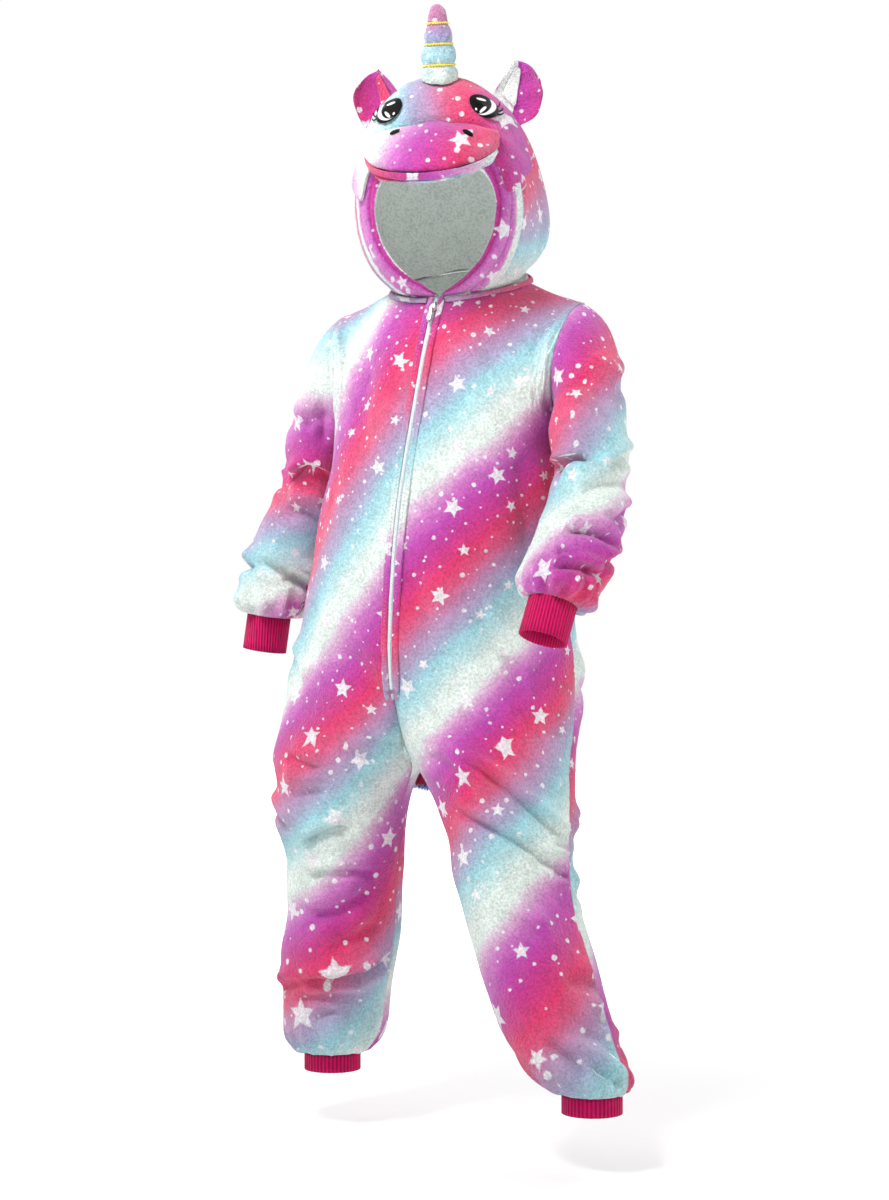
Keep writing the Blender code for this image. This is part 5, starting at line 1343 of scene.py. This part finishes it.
stitches = bmesh.new()
for side in ("left", "right"):
    name = f"placket_{side}"
    middles, _, out = middle_line(name)
    out = np.where(out[:, 1:2] < 0, out, -out)
    stitched(stitches, middles, out, tree_of(name))
places = in_head([v.co for v in pieces["snout_lip"].data.vertices])
line = []
for low in np.linspace(*LIP_ENDS, 36):
    near = places[np.abs(places[:, 0] - low) < 0.004]
    if len(near):
        line.append([low, near[:, 1].min(), near[near[:, 1].argmin(), 2] + 0.001])
line = np.array(line) @ head_axes() + HEAD_AT
toward = np.tile(np.array([0.0, -1.0, 0.1]) @ head_axes(), (len(line), 1))
stitched(stitches, line, toward, tree_of("snout_lip"))
new_piece("stitches", stitches, thread("seam_thread", rgb(196, 150, 184)))
tack = bmesh.new()
middles, across, out = middle_line("zip_chain")
end, side, face = middles[-1], unit(across[-1]), out[-1] if out[-1][1] < 0 else -out[-1]
panels = tree_of("front_left", "front_right", "placket_left", "placket_right", "zip_chain")
for row in range(TACK_ROWS):
    row_end = end - np.array([0, 0, 0.001 * row])
    places = [row_end + side * x for x in np.linspace(-TACK_HALF, TACK_HALF, 7)]
    line = [laid_on(panels, spot, face, TACK_THICK) for spot in places]
    if all(p is not None for p in line):
        tube(tack, line, TACK_THICK)
new_piece("bar_tack", tack, thread("tack_thread", rgb(176, 128, 168)))


# ---- Camera, light and floor ----
VIEW_FROM = 25
AWAY, ASIDE, HIGH = 3.0, -0.021, -0.374
LENS, FILM = 50.0, 24.0  # in mm
FLOOR, FLOOR_GLOW, LAMPS_AIM = -1.02, 0.42, -0.35
ROOM, BACKDROP = 0.30, 1.0


def studio(scene):
    """A white backdrop behind the garment, and a dimmer room elsewhere, so that the lamps shape the folds."""
    world = bpy.data.worlds.new("world")
    world.use_nodes = True
    tree = world.node_tree
    direction = tree.nodes.new("ShaderNodeTexCoord").outputs["Generated"]
    along = tree.nodes.new("ShaderNodeVectorMath")
    along.operation = "DOT_PRODUCT"
    along.inputs[1].default_value = Vector(-facing(VIEW_FROM)[0])
    tree.links.new(direction, along.inputs[0])
    strength = tree.nodes.new("ShaderNodeMapRange")
    strength.interpolation_type = "SMOOTHSTEP"
    for socket, number in zip(strength.inputs[1:5], (0.35, 0.85, ROOM, BACKDROP)):
        socket.default_value = number
    tree.links.new(along.outputs["Value"], strength.inputs[0])
    background = tree.nodes["Background"]
    background.inputs["Color"].default_value = (1.0, 1.0, 1.0, 1.0)
    tree.links.new(strength.outputs[0], background.inputs["Strength"])
    scene.world = world


def camera_and_light():
    scene = bpy.context.scene
    back, right = facing(VIEW_FROM)
    camera = placed("camera", bpy.data.cameras.new("camera"))
    camera.location = Vector(right * ASIDE + back * AWAY + np.array([0, 0, HIGH]))
    camera.rotation_euler = (math.radians(90), 0, math.radians(VIEW_FROM))
    camera.data.sensor_fit = "VERTICAL"
    camera.data.sensor_height, camera.data.lens = FILM, LENS
    scene.camera = camera
    studio(scene)
    # name, azimuth, elevation, distance, size, watts
    for name, azimuth, elevation, away, size, watts in (
        ("key", -12, 52, 2.4, 0.55, 50), ("fill", 75, 18, 2.8, 1.6, 13), ("low", -40, 5, 3.0, 1.6, 8),
        ("rim_left", 150, 45, 2.4, 1.0, 22), ("rim_right", 250, 40, 2.4, 1.0, 22),
    ):
        lamp = placed(name, bpy.data.lights.new(name, "AREA"))
        lamp.data.size, lamp.data.energy = size, watts
        rise = math.radians(elevation)
        toward = facing(azimuth)[0] * math.cos(rise) + np.array([0, 0, math.sin(rise)])
        lamp.location = Vector(toward * away + np.array([0, 0, LAMPS_AIM]))
        lamp.rotation_euler = Vector(toward).to_track_quat("Z", "Y").to_euler()
    floor = bpy.data.meshes.new("floor")
    floor.from_pydata([(x, y, FLOOR) for x, y in ((-6, -6), (6, -6), (6, 6), (-6, 6))], [], [(0, 1, 2, 3)])
    floor = placed("floor", floor)
    m = Nodes("floor")
    away = m.vector("LENGTH", m.place())
    m.feed(m.shader, {"Emission Color": (1.0, 1.0, 1.0)})
    m.feed(m.shader, {"Emission Strength": m.plus(m.soft_step(away, 1.0, 2.4), FLOOR_GLOW)})
    floor.data.materials.append(m.finish((0.55, 0.55, 0.55), 0.8))
    floor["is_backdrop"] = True
    scene.view_settings.view_transform = "Standard"


camera_and_light()

low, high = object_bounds()
